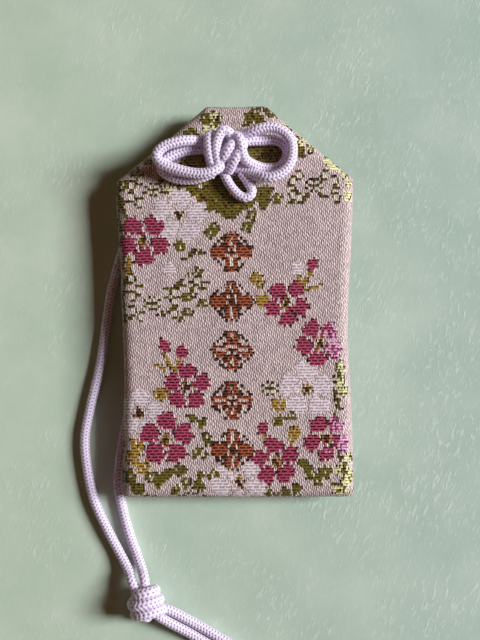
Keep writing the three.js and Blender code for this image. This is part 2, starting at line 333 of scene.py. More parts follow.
def new_group(name, inputs, outputs):
    """Opens a new node group: the group, what comes into it, and the node for its results."""
    global tree
    tree = bpy.data.node_groups.new(name, "ShaderNodeTree")
    for way, sockets in (("INPUT", inputs), ("OUTPUT", outputs)):
        for socket, kind in sockets.items():
            tree.interface.new_socket(socket, in_out=way, socket_type="NodeSocket" + kind)
    return tree, tree.nodes.new("NodeGroupInput").outputs, tree.nodes.new("NodeGroupOutput")


print("node helpers ready")

# %% [markdown]
# ## Floor and light
# A pale plaster table carries the shadow. It is mottled and worn in patches of slanting strokes,
# and its colour is painted a little darker and cooler on the right, as painted shade that evens out
# the lamp's stronger light on that side. The photograph's window is on the right and a little above,
# so one soft lamp stands there at about 34 degrees. Its size gives the shadow an edge some
# millimetres wide, and a dim warm world fills the shadow side. Together they light a flat
# surface at a plain level, so a colour renders about as it is written.

# %% Floor, lamp and world
floor_mesh = bpy.data.meshes.new("floor")
floor_bm = bmesh.new()
bmesh.ops.create_grid(floor_bm, x_segments=8, y_segments=8, size=0.9)
bmesh.ops.translate(floor_bm, verts=floor_bm.verts, vec=(0, 0, -0.05 * MM))
floor_bm.to_mesh(floor_mesh)
floor_bm.free()
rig.stage(show("floor", floor_mesh))

floor_finish, shader = new_material("pale_table", Roughness=0.7, Specular_IOR_Level=0.3)
place = object_place()
shade = ramp(noise(place, 42, 9, Roughness=0.62)["Fac"], 0.3, 0.75)
# Painted shade: the floor's colour is darker and a little cooler towards the right, against the lamp's stronger light
# on that side.
side = ramp(add_node("SeparateXYZ", {0: place}).outputs["X"], -0.07, 0.07)
deep = mix_colour(side, srgb(187, 207, 183), srgb(172, 195, 180))
pale = mix_colour(side, srgb(207, 221, 199), srgb(192, 210, 196))
brushed = add_node("CombineXYZ", {
    "X": vector("DOT_PRODUCT", place, (190, 430, 0)),
    "Y": vector("DOT_PRODUCT", place, (-1200, 530, 0)),
}).outputs[0]
strokes = ramp(noise(brushed, 1, 4, Distortion=0.9)["Fac"], 0.48, 0.76, 0, 0.6)
patches = noise(place, 60, 4, Roughness=0.6)["Fac"]
worn = calc("ADD", patches, calc("MULTIPLY", side, 0.14))
stroke = calc("MULTIPLY", strokes, ramp(worn, 0.5, 0.72, 0.2, 1))
colour = mix_colour(stroke, mix_colour(shade, deep, pale), srgb(226, 232, 222))
fill(shader, {"Base Color": colour, "Normal": bump(stroke, 0.5, 0.12)})
floor_mesh.materials.append(floor_finish)

window_data = bpy.data.lights.new("window_light", "AREA")
window_data.shape = "RECTANGLE"
window_data.size, window_data.size_y = 1.1, 1.4
window_data.energy = 227
window_data.color = (0.98, 0.99, 1.04)
window = show("window_light", window_data)
window.location = (3.294, 0.384, 2.237)
window.rotation_euler = (-window.location).to_track_quat("-Z", "Y").to_euler()

world = bpy.data.worlds.new("room")
world.use_nodes = True
scene.world = world
tree = world.node_tree
room = fill(tree.nodes["Background"], {"Color": (1.0, 0.34, 0.04, 1), "Strength": 0.058})
plain = add_node("Background", {"Color": srgb(214, 222, 216), "Strength": 1.0})
ray = add_node("LightPath").outputs
shown = calc("MAXIMUM", ray["Is Camera Ray"], ray["Is Glossy Ray"])
choice = add_node("MixShader", {0: shown, 1: room.outputs[0], 2: plain.outputs[0]})
fill(tree.nodes["World Output"], {"Surface": choice.outputs[0]})
print("window lamp", round(window.location.length, 2), "m away")

# %% [markdown]
# ## The braided cord
# The cord is a 2.3 mm tube knitted from thin white yarn: columns of small V stitches with a
# dotted dark line between the columns, where small holes lie in shade. A bevelled curve with a
# bump map would look like a hose, so the tube is a grid rolled along the cord's path, with the
# stitches raised in the mesh. A painted shade value of each point, dark in the holes and between
# the stitches, is kept as an attribute, which the finish uses to shade the gaps.

# %% A smooth path and its frames
def distances(path):
    """How far along the path each of its points lies."""
    return np.concatenate([[0], np.cumsum(np.linalg.norm(np.diff(path, axis=0), axis=1))])


def smooth_path(points, step):
    """Even points on a centripetal Catmull-Rom curve through the given points."""
    knots = [np.array(point, float) for point in points]
    knots = [2 * knots[0] - knots[1], *knots, 2 * knots[-1] - knots[-2]]
    fine = []
    for a, b, c, d in zip(knots, knots[1:], knots[2:], knots[3:]):
        t1 = np.linalg.norm(b - a) ** 0.5
        t2 = t1 + np.linalg.norm(c - b) ** 0.5
        t3 = t2 + np.linalg.norm(d - c) ** 0.5
        for t in np.linspace(t1, t2, 24, endpoint=False):
            ab = a + (b - a) * t / t1
            bc = b + (c - b) * (t - t1) / (t2 - t1)
            cd = c + (d - c) * (t - t2) / (t3 - t2)
            abc = ab + (bc - ab) * t / t2
            bcd = bc + (cd - bc) * (t - t1) / (t3 - t1)
            fine.append(abc + (bcd - abc) * (t - t1) / (t2 - t1))
    fine = np.array([*fine, knots[-2]])
    run = distances(fine)
    even = np.linspace(0, run[-1], max(4, round(run[-1] / step)) + 1)
    return np.column_stack([np.interp(even, run, fine[:, k]) for k in range(3)])


def path_length(path):
    return float(distances(path)[-1])


def path_frames(path):
    """Two directions across the path at each point, carried along without twisting."""
    along = np.gradient(path, axis=0)
    along /= np.linalg.norm(along, axis=1)[:, None]
    side = np.cross(along[0], (0.0, 0.0, 1.0))
    if np.linalg.norm(side) < 0.2:
        side = np.cross(along[0], (0.0, 1.0, 0.0))
    sides = []
    for way in along:
        side = side - way * side.dot(way)
        side = side / np.linalg.norm(side)
        sides.append(side)
    sides = np.array(sides)
    return sides, np.cross(sides, along)


straight = smooth_path([(0, 0, 0), (4, 0, 0), (10, 0, 0)], 0.1)
print("a straight 10 mm path measures", round(path_length(straight), 6))

# %% Stitches and the tube
STITCH_PITCH, STITCH_COLUMNS, STITCH_LEAN, STITCH_DEPTH = 0.73, 8, 0.5, 0.2
CORD_FACETS, CORD_END = 56, 0.7
THREAD_TWIST = 0.16


def stitch_surface(around, along):
    """Height and shade tone, 0 to 1, at an angle round the cord and a distance along it."""
    column = around / (2 * math.pi) * STITCH_COLUMNS
    lean = np.where(np.floor(column) % 2 == 0, 1.0, -1.0)
    across = (column - np.floor(column) - 0.5) * lean
    stack = along / STITCH_PITCH + STITCH_LEAN * across
    bead = 2 * (stack - np.floor(stack)) - 1
    yarn = np.sqrt(np.maximum(0, 1 - bead**2))
    # The dark dots are painted shade in the small holes between the columns, and the crevices between stitches are
    # painted a little darker too.
    from_dot = np.hypot((0.5 - np.abs(across)) / 0.25, (1 - np.abs(bead)) / 0.5)
    dot = np.clip(1.25 - from_dot, 0, 1)
    return yarn * (1 - 0.5 * dot), np.clip(1 - 1.15 * dot - 0.3 * (1 - yarn) ** 2, 0, 1)


def twist_surface(around, along):
    """Two plies of sewing thread, twisted round each other."""
    ply = np.abs(np.sin(around - along / THREAD_TWIST))
    # The tone is the ply shape, so the thread is painted darker between the plies, as shade.
    return ply, ply


def rolled_tube(name, path, diameter, relief, surface, facets, end, slim=1.0):
    """A closed tube along a path in mm, with its surface raised by a height function."""
    rows = len(path) - 1
    mesh = bpy.data.meshes.new(name)
    bm = bmesh.new()
    bmesh.ops.create_grid(bm, x_segments=facets, y_segments=rows, size=1)
    bm.to_mesh(mesh)
    spots = read(mesh.vertices, "co", 3)
    around = (1 - spots[:, 0]) * math.pi
    row = np.rint((spots[:, 1] + 1) / 2 * rows).astype(int)
    run = distances(path)
    to_end = np.minimum(run, run[-1] - run)
    rounded = np.sqrt(np.clip(1 - (1 - np.minimum(to_end / end, 1)) ** 2, 0, 1))
    height, tone = surface(around % (2 * math.pi - 1e-9), run[row])
    radius = (diameter / 2 - relief * (1 - height)) * (rounded * slim)[row]
    first, second = path_frames(path)
    outward = np.cos(around)[:, None] * first[row] + np.sin(around)[:, None] * second[row]
    placed = (path[row] + radius[:, None] * outward) * MM
    mesh.vertices.foreach_set("co", placed.ravel())
    mesh.attributes.new("gap_shade", "FLOAT", "POINT").data.foreach_set("value", tone)
    bm.clear()
    bm.from_mesh(mesh)
    bmesh.ops.remove_doubles(bm, verts=bm.verts, dist=0.004 * MM)
    bmesh.ops.recalc_face_normals(bm, faces=bm.faces)
    for face in bm.faces:
        face.smooth = True
    bm.to_mesh(mesh)
    bm.free()
    return show(name, mesh)


def braided_cord(name, path, diameter, slim=1.0):
    surface = (STITCH_DEPTH, stitch_surface, CORD_FACETS, CORD_END)
    return rolled_tube(name, path, diameter, *surface, slim)


print("one stitch is", STITCH_PITCH, "mm long")

# %% [markdown]
# The yarn is a slightly lilac white with a soft sheen. The gaps between the stitches are painted
# in shade by the shade attribute, because real gaps this small lose most of their light. Fine
# noise breaks the yarn up into fibres, and a share of the light spreads inside the yarn, which
# softens its shadow side.

# %% Fibre group and the cord's finish
fibre, given, result = new_group(
    "yarn_fibres", {"Yarn": "Color", "Gap": "Color", "Grain": "Float"},
    {"Colour": "Color", "Height": "Float"},
)
gap_shade = add_node("Attribute", attribute_name="gap_shade").outputs["Fac"]
hairs = noise(object_place(), given["Grain"], 2)["Fac"]
streak = ramp(hairs, 0.3, 0.7, 0.86, 1)
depth = ramp(gap_shade, 0, 0.95)
# Painted shade: where the shade value is low, the yarn takes the darker gap colour.
tint = mix_colour(depth, given["Gap"], given["Yarn"])
height = calc("MULTIPLY", hairs, depth)
fill(result, {"Colour": dimmed(tint, streak), "Height": height})


def yarn_finish(name, yarn, gap, grain, **constants):
    material, shader = new_material(name, **constants)
    sockets = {"Yarn": yarn, "Gap": gap, "Grain": grain}
    made = add_node("Group", sockets, node_tree=fibre).outputs
    fill(shader, {"Base Color": made["Colour"], "Normal": bump(made["Height"], 0.4, 0.03)})
    return material


cord_finish = yarn_finish(
    "white_cord_yarn", srgb(247, 233, 255), srgb(128, 96, 164), 9000,
    Roughness=0.5, Specular_IOR_Level=0.3, Sheen_Weight=0.25, Sheen_Roughness=0.4,
    Subsurface_Weight=0.35, Subsurface_Radius=(1.0, 0.92, 1.0), Subsurface_Scale=1.2 * MM,
)
print("finish:", cord_finish.name)

# %% [markdown]
# ## The two hanging strands
# From the bow the doubled cord goes down through the hole, under the pouch's left margin, out
# along the table and into the stop knot, and two cut tails leave the knot side by side. Each
# cord is one tube from the hole to its heat-sealed end, on the route of its solids.

# %% Routes of the strands
CORD, DRAWN_CORD = 2.3, 2.3 - 0.15
FACE = 7.7
FIT = 0.3
HOLE = (-1.9, 31.0)
ON_TABLE = CORD / 2
BEND = 3.1
HOLE_SIDE = CORD / 2 + FIT / 2
LEAVE = unit(-0.93, -0.37)
KNOT_MIDDLE = np.array((-19.4, -63.9, 3.9))
TAIL_WAY = unit(0.861, -0.509)
TAIL_START, TAIL, TAIL_APART = 0.68 * 7.8, 24, 1.17
PATH_STEP, BOW_STEP, SEAM_STEP = 0.115, 0.105, 0.09

# A third number is the cord's lift off the table.
OUTER_LAY = [
    (-9, 29.9), (-13.5, 27.8), (-18, 24.2), (-21.8, 19), (-24.2, 13.6), (-25.6, 9.5), (-27.4, 2.5),
    (-28.6, -5.4), (-29.7, -13), (-32, -22.9), (-33.1, -29.4), (-32.7, -35), (-31.1, -42.4),
    (-28.2, -48.8), (-25.4, -54), (-23.3, -57.6, 1.2), (-22.4, -59.6, 2.6),
]
INNER_LAY = [
    (-8, 27), (-12.5, 24.6), (-17, 20.6), (-20.2, 15.2), (-21.6, 8), (-22.2, 0), (-22.2, -8),
    (-22.4, -16), (-23.2, -22.5), (-24.4, -27.5), (-25.5, -34.3), (-25.8, -39), (-25, -43.9),
    (-23.5, -49.6), (-22, -53.6), (-20.6, -57, 1.2), (-19.9, -58.8, 2.6),
]


def hanging_route(side, lay, tail_side):
    top = (HOLE[0] + side * HOLE_SIDE * LEAVE[1], HOLE[1] - side * HOLE_SIDE * LEAVE[0])
    route = [(*top, FACE + 0.1), (*top, (FACE + ON_TABLE + BEND) / 2)]
    for angle in (0, 30, 60, 90):
        out = BEND * (1 - math.cos(math.radians(angle)))
        drop = BEND * (1 - math.sin(math.radians(angle)))
        route.append((top[0] + out * LEAVE[0], top[1] + out * LEAVE[1], ON_TABLE + drop))
    for x, y, *lift in lay:
        route.append((x, y, ON_TABLE + sum(lift)))
    apart = tail_side * TAIL_APART * np.array((-TAIL_WAY[1], TAIL_WAY[0]))
    route.append((*(KNOT_MIDDLE[:2] + 0.6 * apart), KNOT_MIDDLE[2]))
    for run, lift in ((0, 1.6), (TAIL / 4, 0.3), (TAIL / 2, 0), (TAIL, 0)):
        spot = KNOT_MIDDLE[:2] + (TAIL_START + run) * TAIL_WAY + apart
        route.append((*spot, ON_TABLE + lift))
    return route


def tight_in_knot(path):
    """The cord is squeezed to less than its width inside the stop knot."""
    near = np.linalg.norm(path - KNOT_MIDDLE, axis=1)
    return 1 - 0.35 * np.clip((4.2 - near) / 1.6, 0, 1)


strands = []
for name, side, lay, tail_side in (("outer", 1, OUTER_LAY, -1), ("inner", -1, INNER_LAY, 1)):
    path = smooth_path(hanging_route(side, lay, tail_side), PATH_STEP)
    strand = braided_cord(f"hanging_cord_{name}", path, DRAWN_CORD, tight_in_knot(path))
    nodes = (f"hanging_strand_{name}", f"tail_{name}")
    strands.append((dress(strand, cord_finish, "cord", nodes, "hanging_cord"), path))
    print(strand.name, round(path_length(path), 1), "mm,", len(strand.data.polygons), "faces")

# %% [markdown]
# The stop knot is the doubled cord wound tightly round itself. One winding of the same braided
# tube gives its bands. It is fuller in the middle than at its ends, where the turns tuck in.

# %% Stop knot
KNOT_AXIS, KNOT_ACROSS = unit(0.35, -0.937, 0), unit(0.937, 0.35, 0)
KNOT_TURNS, KNOT_RADIUS, KNOT_PITCH, KNOT_CORD = 3.0, 2.75, 2.05, 2.4
winding = []
for share in np.linspace(-0.5, 0.5, 73):
    turn = 2 * math.pi * KNOT_TURNS * share
    tuck = KNOT_RADIUS * (1 - 0.5 * share**2) - 1.7 * max(0.0, abs(share) - 0.38) / 0.12
    winding.append(
        KNOT_MIDDLE
        + KNOT_AXIS * KNOT_TURNS * KNOT_PITCH * math.copysign(min(abs(share), 0.42), share)
        + KNOT_ACROSS * tuck * math.cos(turn)
        - np.array((0, 0, tuck * math.sin(turn)))
    )
stop_knot = braided_cord("stop_knot_winding", smooth_path(winding, PATH_STEP), KNOT_CORD)
dress(stop_knot, cord_finish, "cord", ["stop_knot"], "hanging_cord")
print("stop knot:", len(stop_knot.data.polygons), "faces")

for strand, path in strands:
    leaves = path[np.argmin(np.abs(path[:200, 2] - 4.0))]
    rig.cord(
        strand, exit=leaves * MM, length=path_length(path) * MM, diameter=CORD * MM,
        far_end="bare", stiffness="limp", lay="loose", path=path[::4] * MM,
        with_pieces=[stop_knot] if strand.name.endswith("outer") else [],
    )
print("declared", len(strands), "cords")

# %% [markdown]
# ## The bow
# The bow is drawn as runs of one cord, with points measured from the knot's middle. Two upright
# bands close it on the left, two slanting bands cross its middle, and the ears' cords pass
# beneath them. Each run stands for the ear and the knot passes it is made of, and has a height
# for the points that give none. A run that makes an ear bends between the knot and the ear when
# the ear is lifted.

# %% Runs of the bow
BOW_CORD = 2.28
SQUEEZED = {"knot_lower_pass_inner": 2.2, "knot_right_pass_inner": 2.2, "lower_ear": 2.05}
UPPER, LOWER = 11.75, 9.15
BOW_BANDS = {
    "knot_left_pass_outer": [
        (-2.5, 2.8, 9.2), (-2.9, 3.3, 10.2), (-3.4, 2.9, 11.4), (-3.6, 1.6, 12), (-3.55, 0, 12.1),
        (-3.35, -1.6, 11.7), (-3, -3, 10.8), (-2.7, -4.2, 9.5), (-2.5, -5, 8.9),
    ],
    "knot_left_pass_inner": [
        (1.9, 1.4, 9.6), (1.3, 2.4, 11.1), (0.5, 3.3, 12.1), (-0.4, 3.6, 12.5), (-1.3, 2.7, 12.6),
        (-1.95, 1.1, 12.5), (-2.1, -0.5, 12.2), (-1.9, -2, 11.6), (-1.5, -3.3, 10.5),
        (-1.2, -4.4, 9.3),
    ],
    "knot_lower_pass_inner": [
        (-1.7, -3.2, 9.4), (-1, -2.4, 10.9), (-0.3, -1.5, 12.1), (0.5, -0.4, 12.6),
        (1.2, 0.6, 12.4), (1.8, 1.5, 11.3), (2.2, 2.1, 10),
    ],
    "knot_right_pass_inner": [
        (0.3, -4.5, 9.2), (0.9, -3.7, 10.7), (1.6, -2.7, 11.8), (2.4, -1.5, 12.3), (3, -0.4, 12.1),
        (3.4, 0.6, 11.1), (3.6, 1.2, 10),
    ],
}
EAR_RUNS = [
    ("right_ear", ("right_ear_outer_turn", "knot_upper_pass_outer"), UPPER, [
        (0.6, -2.7, 8.9), (2.3, -3.5, 9), (4.4, -4.5, 9.5), (6.2, -5.4, 10.4), (7.7, -6, 11.3),
        (9.2, -6.2, 11.7), (11, -5.6), (12.6, -4.3), (13.5, -2.6), (13.8, -0.6), (13.6, 1.2),
        (12.8, 2.6), (11.6, 3.6), (10.2, 4.2), (8.6, 4.3), (7.1, 4.05, 11.7), (5.6, 3.6, 11.3),
        (3.9, 3.2, 10.3), (2, 2.9, 9.9), (0.3, 2.6, 9.5), (-1.6, 2.4, 9.1), (-3.4, 2.4, 9),
    ]),
    ("right_ear",
     ("right_ear_inner_turn", "knot_upper_pass_inner", "knot_right_pass_outer"), LOWER, [
        (-3.4, 0.7, 8.95), (-1.6, 0.8, 9.1), (0.3, 1.1, 9.4), (2, 1.5, 9.9), (3.9, 1.9, 10),
        (5.6, 2.1, 9.7), (7.2, 2.2, 9.3), (8.6, 2.3), (10.4, 2.3), (12, 1.5), (12.8, 0),
        (12.5, -2), (11.3, -3.4), (9.2, -3.8), (7.2, -3.6, 9.4), (5.5, -3.1, 10.2),
        (4.1, -2.4, 11.3), (3.4, -1.2, 12.2), (3.2, 0.3, 12.7), (2.8, 1.6, 12.6), (2, 2.5, 11.7),
        (1, 2.9, 10.2),
    ]),
    ("left_ear", ("left_ear_upper_turn", "knot_lower_pass_outer"), UPPER, [
        (-2.6, 2.4, 9.1), (-4.2, 2.2, 9.2), (-5.8, 2.1, 9.9), (-7.4, 1.95, 10.9),
        (-8.9, 1.75, 11.5), (-10.8, 1.3), (-12.6, 0.7), (-13.9, -0.3), (-14.45, -1.5),
        (-13.8, -2.7), (-12.6, -3.5), (-10.8, -4.15), (-8.8, -4.75), (-7, -5.15),
        (-5.4, -5.3, 11.8), (-4, -5.2, 11.9), (-2.7, -4.8, 11.9), (-1.7, -4.1, 11.6),
        (-1.1, -3.2, 10.8), (-0.8, -2.4, 9.6),
    ]),
    ("left_ear", ("left_ear_lower_turn",), LOWER, [
        (-2.6, 0.6, 8.95), (-4.4, 0.6, 9), (-6.8, 0.5), (-8.8, 0.2), (-10.6, -0.4), (-12.4, -1.3),
        (-13.6, -2.5), (-13.6, -3.8), (-12.2, -5), (-9.8, -5.8), (-7.4, -5.9), (-5.4, -5.5, 9.1),
        (-3.8, -4.9, 9), (-2.4, -4.6, 9),
    ]),
    ("lower_ear", ("lower_ear",), LOWER, [
        (-0.9, -3.4, 8.9), (-0.5, -4.8, 9), (0.1, -6.2), (1.1, -7.8), (2.6, -9.4), (3.8, -9.9),
        (4.9, -9.5), (5.3, -8.4), (4.8, -7.2), (4.1, -6, 9.1), (3.4, -5, 9), (2.8, -4.2, 8.9),
    ]),
]
HINGE_HEIGHT = 0.0092
HINGE_SPAN = {
    "left_ear": ((-5.2, 0), (-8.6, 0)), "right_ear": ((5.2, 0), (8.6, 0)),
    "lower_ear": ((0, -5.2), (0.6, -8.2)),
}


def bow_run(nodes, level, points, body=None):
    spots = [(HOLE[0] + x, HOLE[1] + y, *(z or [level])) for x, y, *z in points]
    path = smooth_path(spots, BOW_STEP)
    piece = braided_cord(f"bow_{nodes[0]}", path, SQUEEZED.get(nodes[0], BOW_CORD))
    print(piece.name, round(path_length(path), 1), "mm of cord")
    return dress(piece, cord_finish, "cord", nodes, body)


def on_hinge(x, y):
    return ((HOLE[0] + x) * MM, (HOLE[1] + y) * MM, HINGE_HEIGHT)


for node, points in BOW_BANDS.items():
    bow_run([node], None, points, "pouch")
for body, *run in EAR_RUNS:
    near, far = HINGE_SPAN[body]
    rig.blend(bow_run(*run), "pouch", body, start=on_hinge(*near), end=on_hinge(*far))

# %% [markdown]
# ## The brocade's pattern
# A jacquard loom draws in steps: every crossing of a warp and a weft thread is either ground or
# a float of one coloured weft. So the cloth is a grid with one face for each crossing, and a
# pattern is a test that says which faces a motif covers. Blossoms, buds, leaves, florets and
# scrolls are written as small formulas, and each is set where the cloth shows one.
# A thread has its red, green and blue, a one if it floats on the ground, and its gaps' painted shade.

# %% Threads of the pattern
WARP, WEFT = 0.34, 0.62
THREADS = {
    "ground": (241, 221, 219, 0, 1),
    "white": (238, 222, 226, 1, 0.7),
    "magenta": (172, 72, 100, 1, 1),
    # A painted highlight on the magenta floats near the right edge, where the cloth turns to the lamp.
    "pink_highlight": (244, 186, 224, 1, 0.92),
    "olive": (108, 95, 32, 1, 0.62),
    # Olive painted lighter for the leaves under the bow, as painted fill light in its shadow.
    "fill_lit_olive": (150, 138, 72, 1, 0.62),
    "vine": (98, 81, 26, 1, 0.7),
    # A painted highlight: pale lime where the shiny olive thread catches the light.
    "lime_highlight": (246, 240, 182, 1, 0.9),
    "ochre": (176, 140, 62, 1, 0.85),
    "copper": (162, 86, 56, 1, 1),
    "brown": (76, 36, 18, 1, 0.9),
    "shade": (40, 26, 14, 1, 0.5),
    "glint": (246, 234, 220, 0, 0.8),
}
NAMES = list(THREADS)


def lobes(x, y, count, turn):
    """Distance along and across the nearest of evenly turned axes."""
    radius, angle = np.hypot(x, y), np.degrees(np.arctan2(y, x)) - turn
    off = np.radians((angle + 180 / count) % (360 / count) - 180 / count)
    return radius * np.cos(off), np.abs(radius * np.sin(off))


def chance(*counts):
    """A repeatable number from 0 to 1 for counts of threads."""
    mixed = np.sin(sum(n * k for n, k in zip(counts, (12.9898, 78.233, 37.719)))) * 43758.5453
    return mixed - np.floor(mixed)


def blossom(x, y, radius, turn):
    along, across = lobes(x / radius, y / radius, 5, turn)
    petal = ((along - 0.67) / 0.33) ** 2 + (across / 0.365) ** 2 < 1
    notch = (along > 0.9) & (across < 0.06)
    stalk = (along > 0.2) & (along < 0.45) & (across < 0.16)
    return petal & ~notch, stalk


def leaf(x, y, length, width, turn):
    c, s = math.cos(math.radians(turn)), math.sin(math.radians(turn))
    along, across = (c * x + s * y) / (length / 2), (c * y - s * x) / (width / 2)
    body = np.abs(across) < (1 - along**2) * (1 + 0.25 * along)
    return body & (np.abs(along) < 1), np.abs(across) < 0.16


def floret(columns, rows):
    """A small flower counted in threads: its outline, its heart, and its light petals."""
    across, up = np.abs(np.rint(columns)), np.abs(np.rint(rows))
    outline = (up == 2) & ((across == 1) | (across == 2))
    outline |= (up == 1) & ((across == 0) | (across == 4) | (across == 5))
    outline |= (up == 0) & (across > 0) & (across < 4)
    petals = (up == 1) & (across > 0) & (across < 4) | (up == 0) & (across == 4)
    return outline, (up == 0) & (across == 0), petals


def curl(columns, rows, opens):
    """A hooked scroll counted in threads, open on one side: its line and the bead it holds."""
    across, up = np.rint(columns), np.rint(rows)
    middle = (up == 0) | (up == 1)
    line = (np.abs(across) < 2) & ((up == -1) | (up == 2)) | (across == -2 * opens) & middle
    return line | (across == 2 * opens) & (up == 2), (np.abs(across) < 2) & middle


def flower_diamond(x, y, size):
    """A four-petalled flower in a diamond, as on court brocades."""
    wide, high, tall = x / size, y / size, y / (size * 0.95)
    along, across = lobes(wide, tall, 4, 0)
    petal = ((along - 0.52) / 0.36) ** 2 + (across / 0.25) ** 2 < 1
    vein = (across < 0.04) & (along > 0.3) & (along < 0.74)
    heart = np.hypot(wide, high) < 0.13
    along, across = lobes(wide, tall, 4, 45)
    bud = ((along - 0.42) / 0.13) ** 2 + (across / 0.09) ** 2 < 1
    frame_line = np.abs(np.abs(wide) + np.abs(tall) - 1.02) < 0.05
    broken = (np.abs(wide) > 0.16) & (np.abs(high) > 0.16)
    return petal & ~vein, heart | bud, frame_line & broken


def near_line(x, y, points, width):
    """Cells within half a width of a line through points."""
    close = np.full(x.shape, 1e9)
    for (ax, ay), (bx, by) in zip(points, points[1:]):
        length = math.hypot(bx - ax, by - ay)
        run = np.clip(((x - ax) * (bx - ax) + (y - ay) * (by - ay)) / length**2, 0, 1)
        close = np.minimum(close, np.hypot(x - ax - run * (bx - ax), y - ay - run * (by - ay)))
    return close < width / 2


counts = (round(1 / WARP, 1), "warps and", round(1 / WEFT, 1), "wefts a mm")
print(len(THREADS), "thread colours,", *counts)

# %% [markdown]
# Places are in mm from the pouch's middle. A blossom also has a radius and a turn, a leaf a turn
# and then its length and width where these vary, a curl the side on which it opens.

# %% Where the motifs are
MAGENTA_BLOSSOMS = [
    (-19.5, 12.6, 5.6, 270), (10.8, -1.1, 5, 270), (17.8, -9.5, 5.3, 262), (-10.5, -18.5, 5.1, 90),
    (-14.9, -29.3, 5.8, 90), (7.8, -33.9, 5.2, 95), (18.6, -29.2, 4.9, 268),
]
WHITE_BLOSSOMS = [
    (-11.9, 17.6, 6, 86), (14.8, -19.3, 6, 90), (0.3, -38.2, 6.2, 270), (-20.8, -24, 5.2, 84),
]
BUDS = [
    (16.3, 6.9, 70, "magenta"), (-15.3, -9.9, 110, "magenta"), (-11.7, -11.2, 65, "magenta"),
    (5.3, -27.1, 60, "magenta"), (-14.2, 6.3, 100, "white"), (13, 6.1, 95, "white"),
]
OCHRE_LEAVES = [
    (-23.3, 7.3, 95), (4.3, 3.8, 110), (4.9, -0.4, 10), (-16.1, -19.9, 10), (8.7, -22.2, 48),
    (11.8, -28.6, 62), (-20.9, -30.9, 130), (-22, -33.4, 150), (-19.9, -35.3, 30),
]
OLIVE_LEAVES = [
    (-5.1, 14.3, 60, 4), (-11.9, 11, 50, 3.6), (-6.9, -1, 20, 3.6), (-10.4, -2.7, 4, 3),
    (-10.7, 0.4, 4, 3), (8.5, 21.2, 20, 3.4), (5.9, 19.8, 40, 3), (3.4, 17.7, 60, 3.2),
    (2.3, 15.1, 70, 3), (-16.5, -38.4, 90, 3.2), (-15.1, -36.8, 40, 3.8), (-17.9, -37.1, 150, 3.6),
    (-12.4, -35.8, 4, 3.6), (-5.1, -36.6, 60, 3.4), (-20.5, -39.5, 100, 3),
    (-22.5, -36.4, 100, 2.2), (-21.6, -37.7, 120, 2.2), (-12.8, -40, 80, 2.8),
    (-10.7, -38.2, 60, 3), (-7.8, -36.6, 20, 2.8), (-8, -39, 120, 3.4), (9.6, -40.5, 20, 3.6),
    (6.4, -40.3, 150, 3.2), (12.3, -39.9, 110, 3), (16.6, -38.1, 90, 3.2), (15.1, -36.4, 140, 3.8),
    (18, -36.3, 40, 3.8), (13.5, -34.6, 55, 2.8), (-7.4, -26, 70, 2.8), (-8.4, -32, 60, 3.2),
    (8.5, -25.5, 30, 3.4), (11.6, -24.8, 160, 2.8), (-9.3, -24.9, 140, 2.6), (-6, -29.2, 100, 2.6),
    (-10.8, 24.8, 160, 4), (-23.6, 24, 60, 3.6), (-23.9, 20.6, 100, 3.4), (-21.2, 27, 40, 3.2),
    (-23.8, 15.6, 80, 3), (-18.4, 29.2, 45, 3),
]
STEMS = [
    [(16, 6), (15.6, 4.4), (13.6, 2.4)], [(17.9, 2.6), (15.9, 2), (14, 1.4)],
    [(13.2, 4.9), (13.4, 3.2)], [(-15.2, -11.2), (-14.6, -13.4), (-13, -15)],
    [(-11.9, -12.4), (-12.4, -13.8), (-13, -15)], [(-17.2, -14), (-15, -14.6)],
    [(5.3, -28.2), (6.2, -29.6)],
]
FLORETS = [(-17.2, 22.8), (16.3, 23.3), (-18, -1), (6.7, -19)]
CURLS = [
    (13.3, 25.4, -1), (11.9, 24.2, 1), (11.4, 22.6, -1), (11.9, 21, 1), (13.4, 20.2, -1),
    (18.8, 25.4, 1), (20.9, 24.2, -1), (20.6, 22, 1), (21, 20.2, -1), (-20, 25, 1),
    (-21.7, 23.6, -1), (-21.6, 21.2, -1), (-20, 20, 1), (-22.3, 3.8, -1), (-20.7, 1, 1),
    (-22.1, -0.2, -1), (-22, -2.8, -1), (-20.3, -4.2, 1), (-15.1, 0.7, -1), (-13.3, 0.9, 1),
    (-13.4, -1.5, 1), (-13.3, -3.8, -1), (-8.6, 2.9, 1),
]
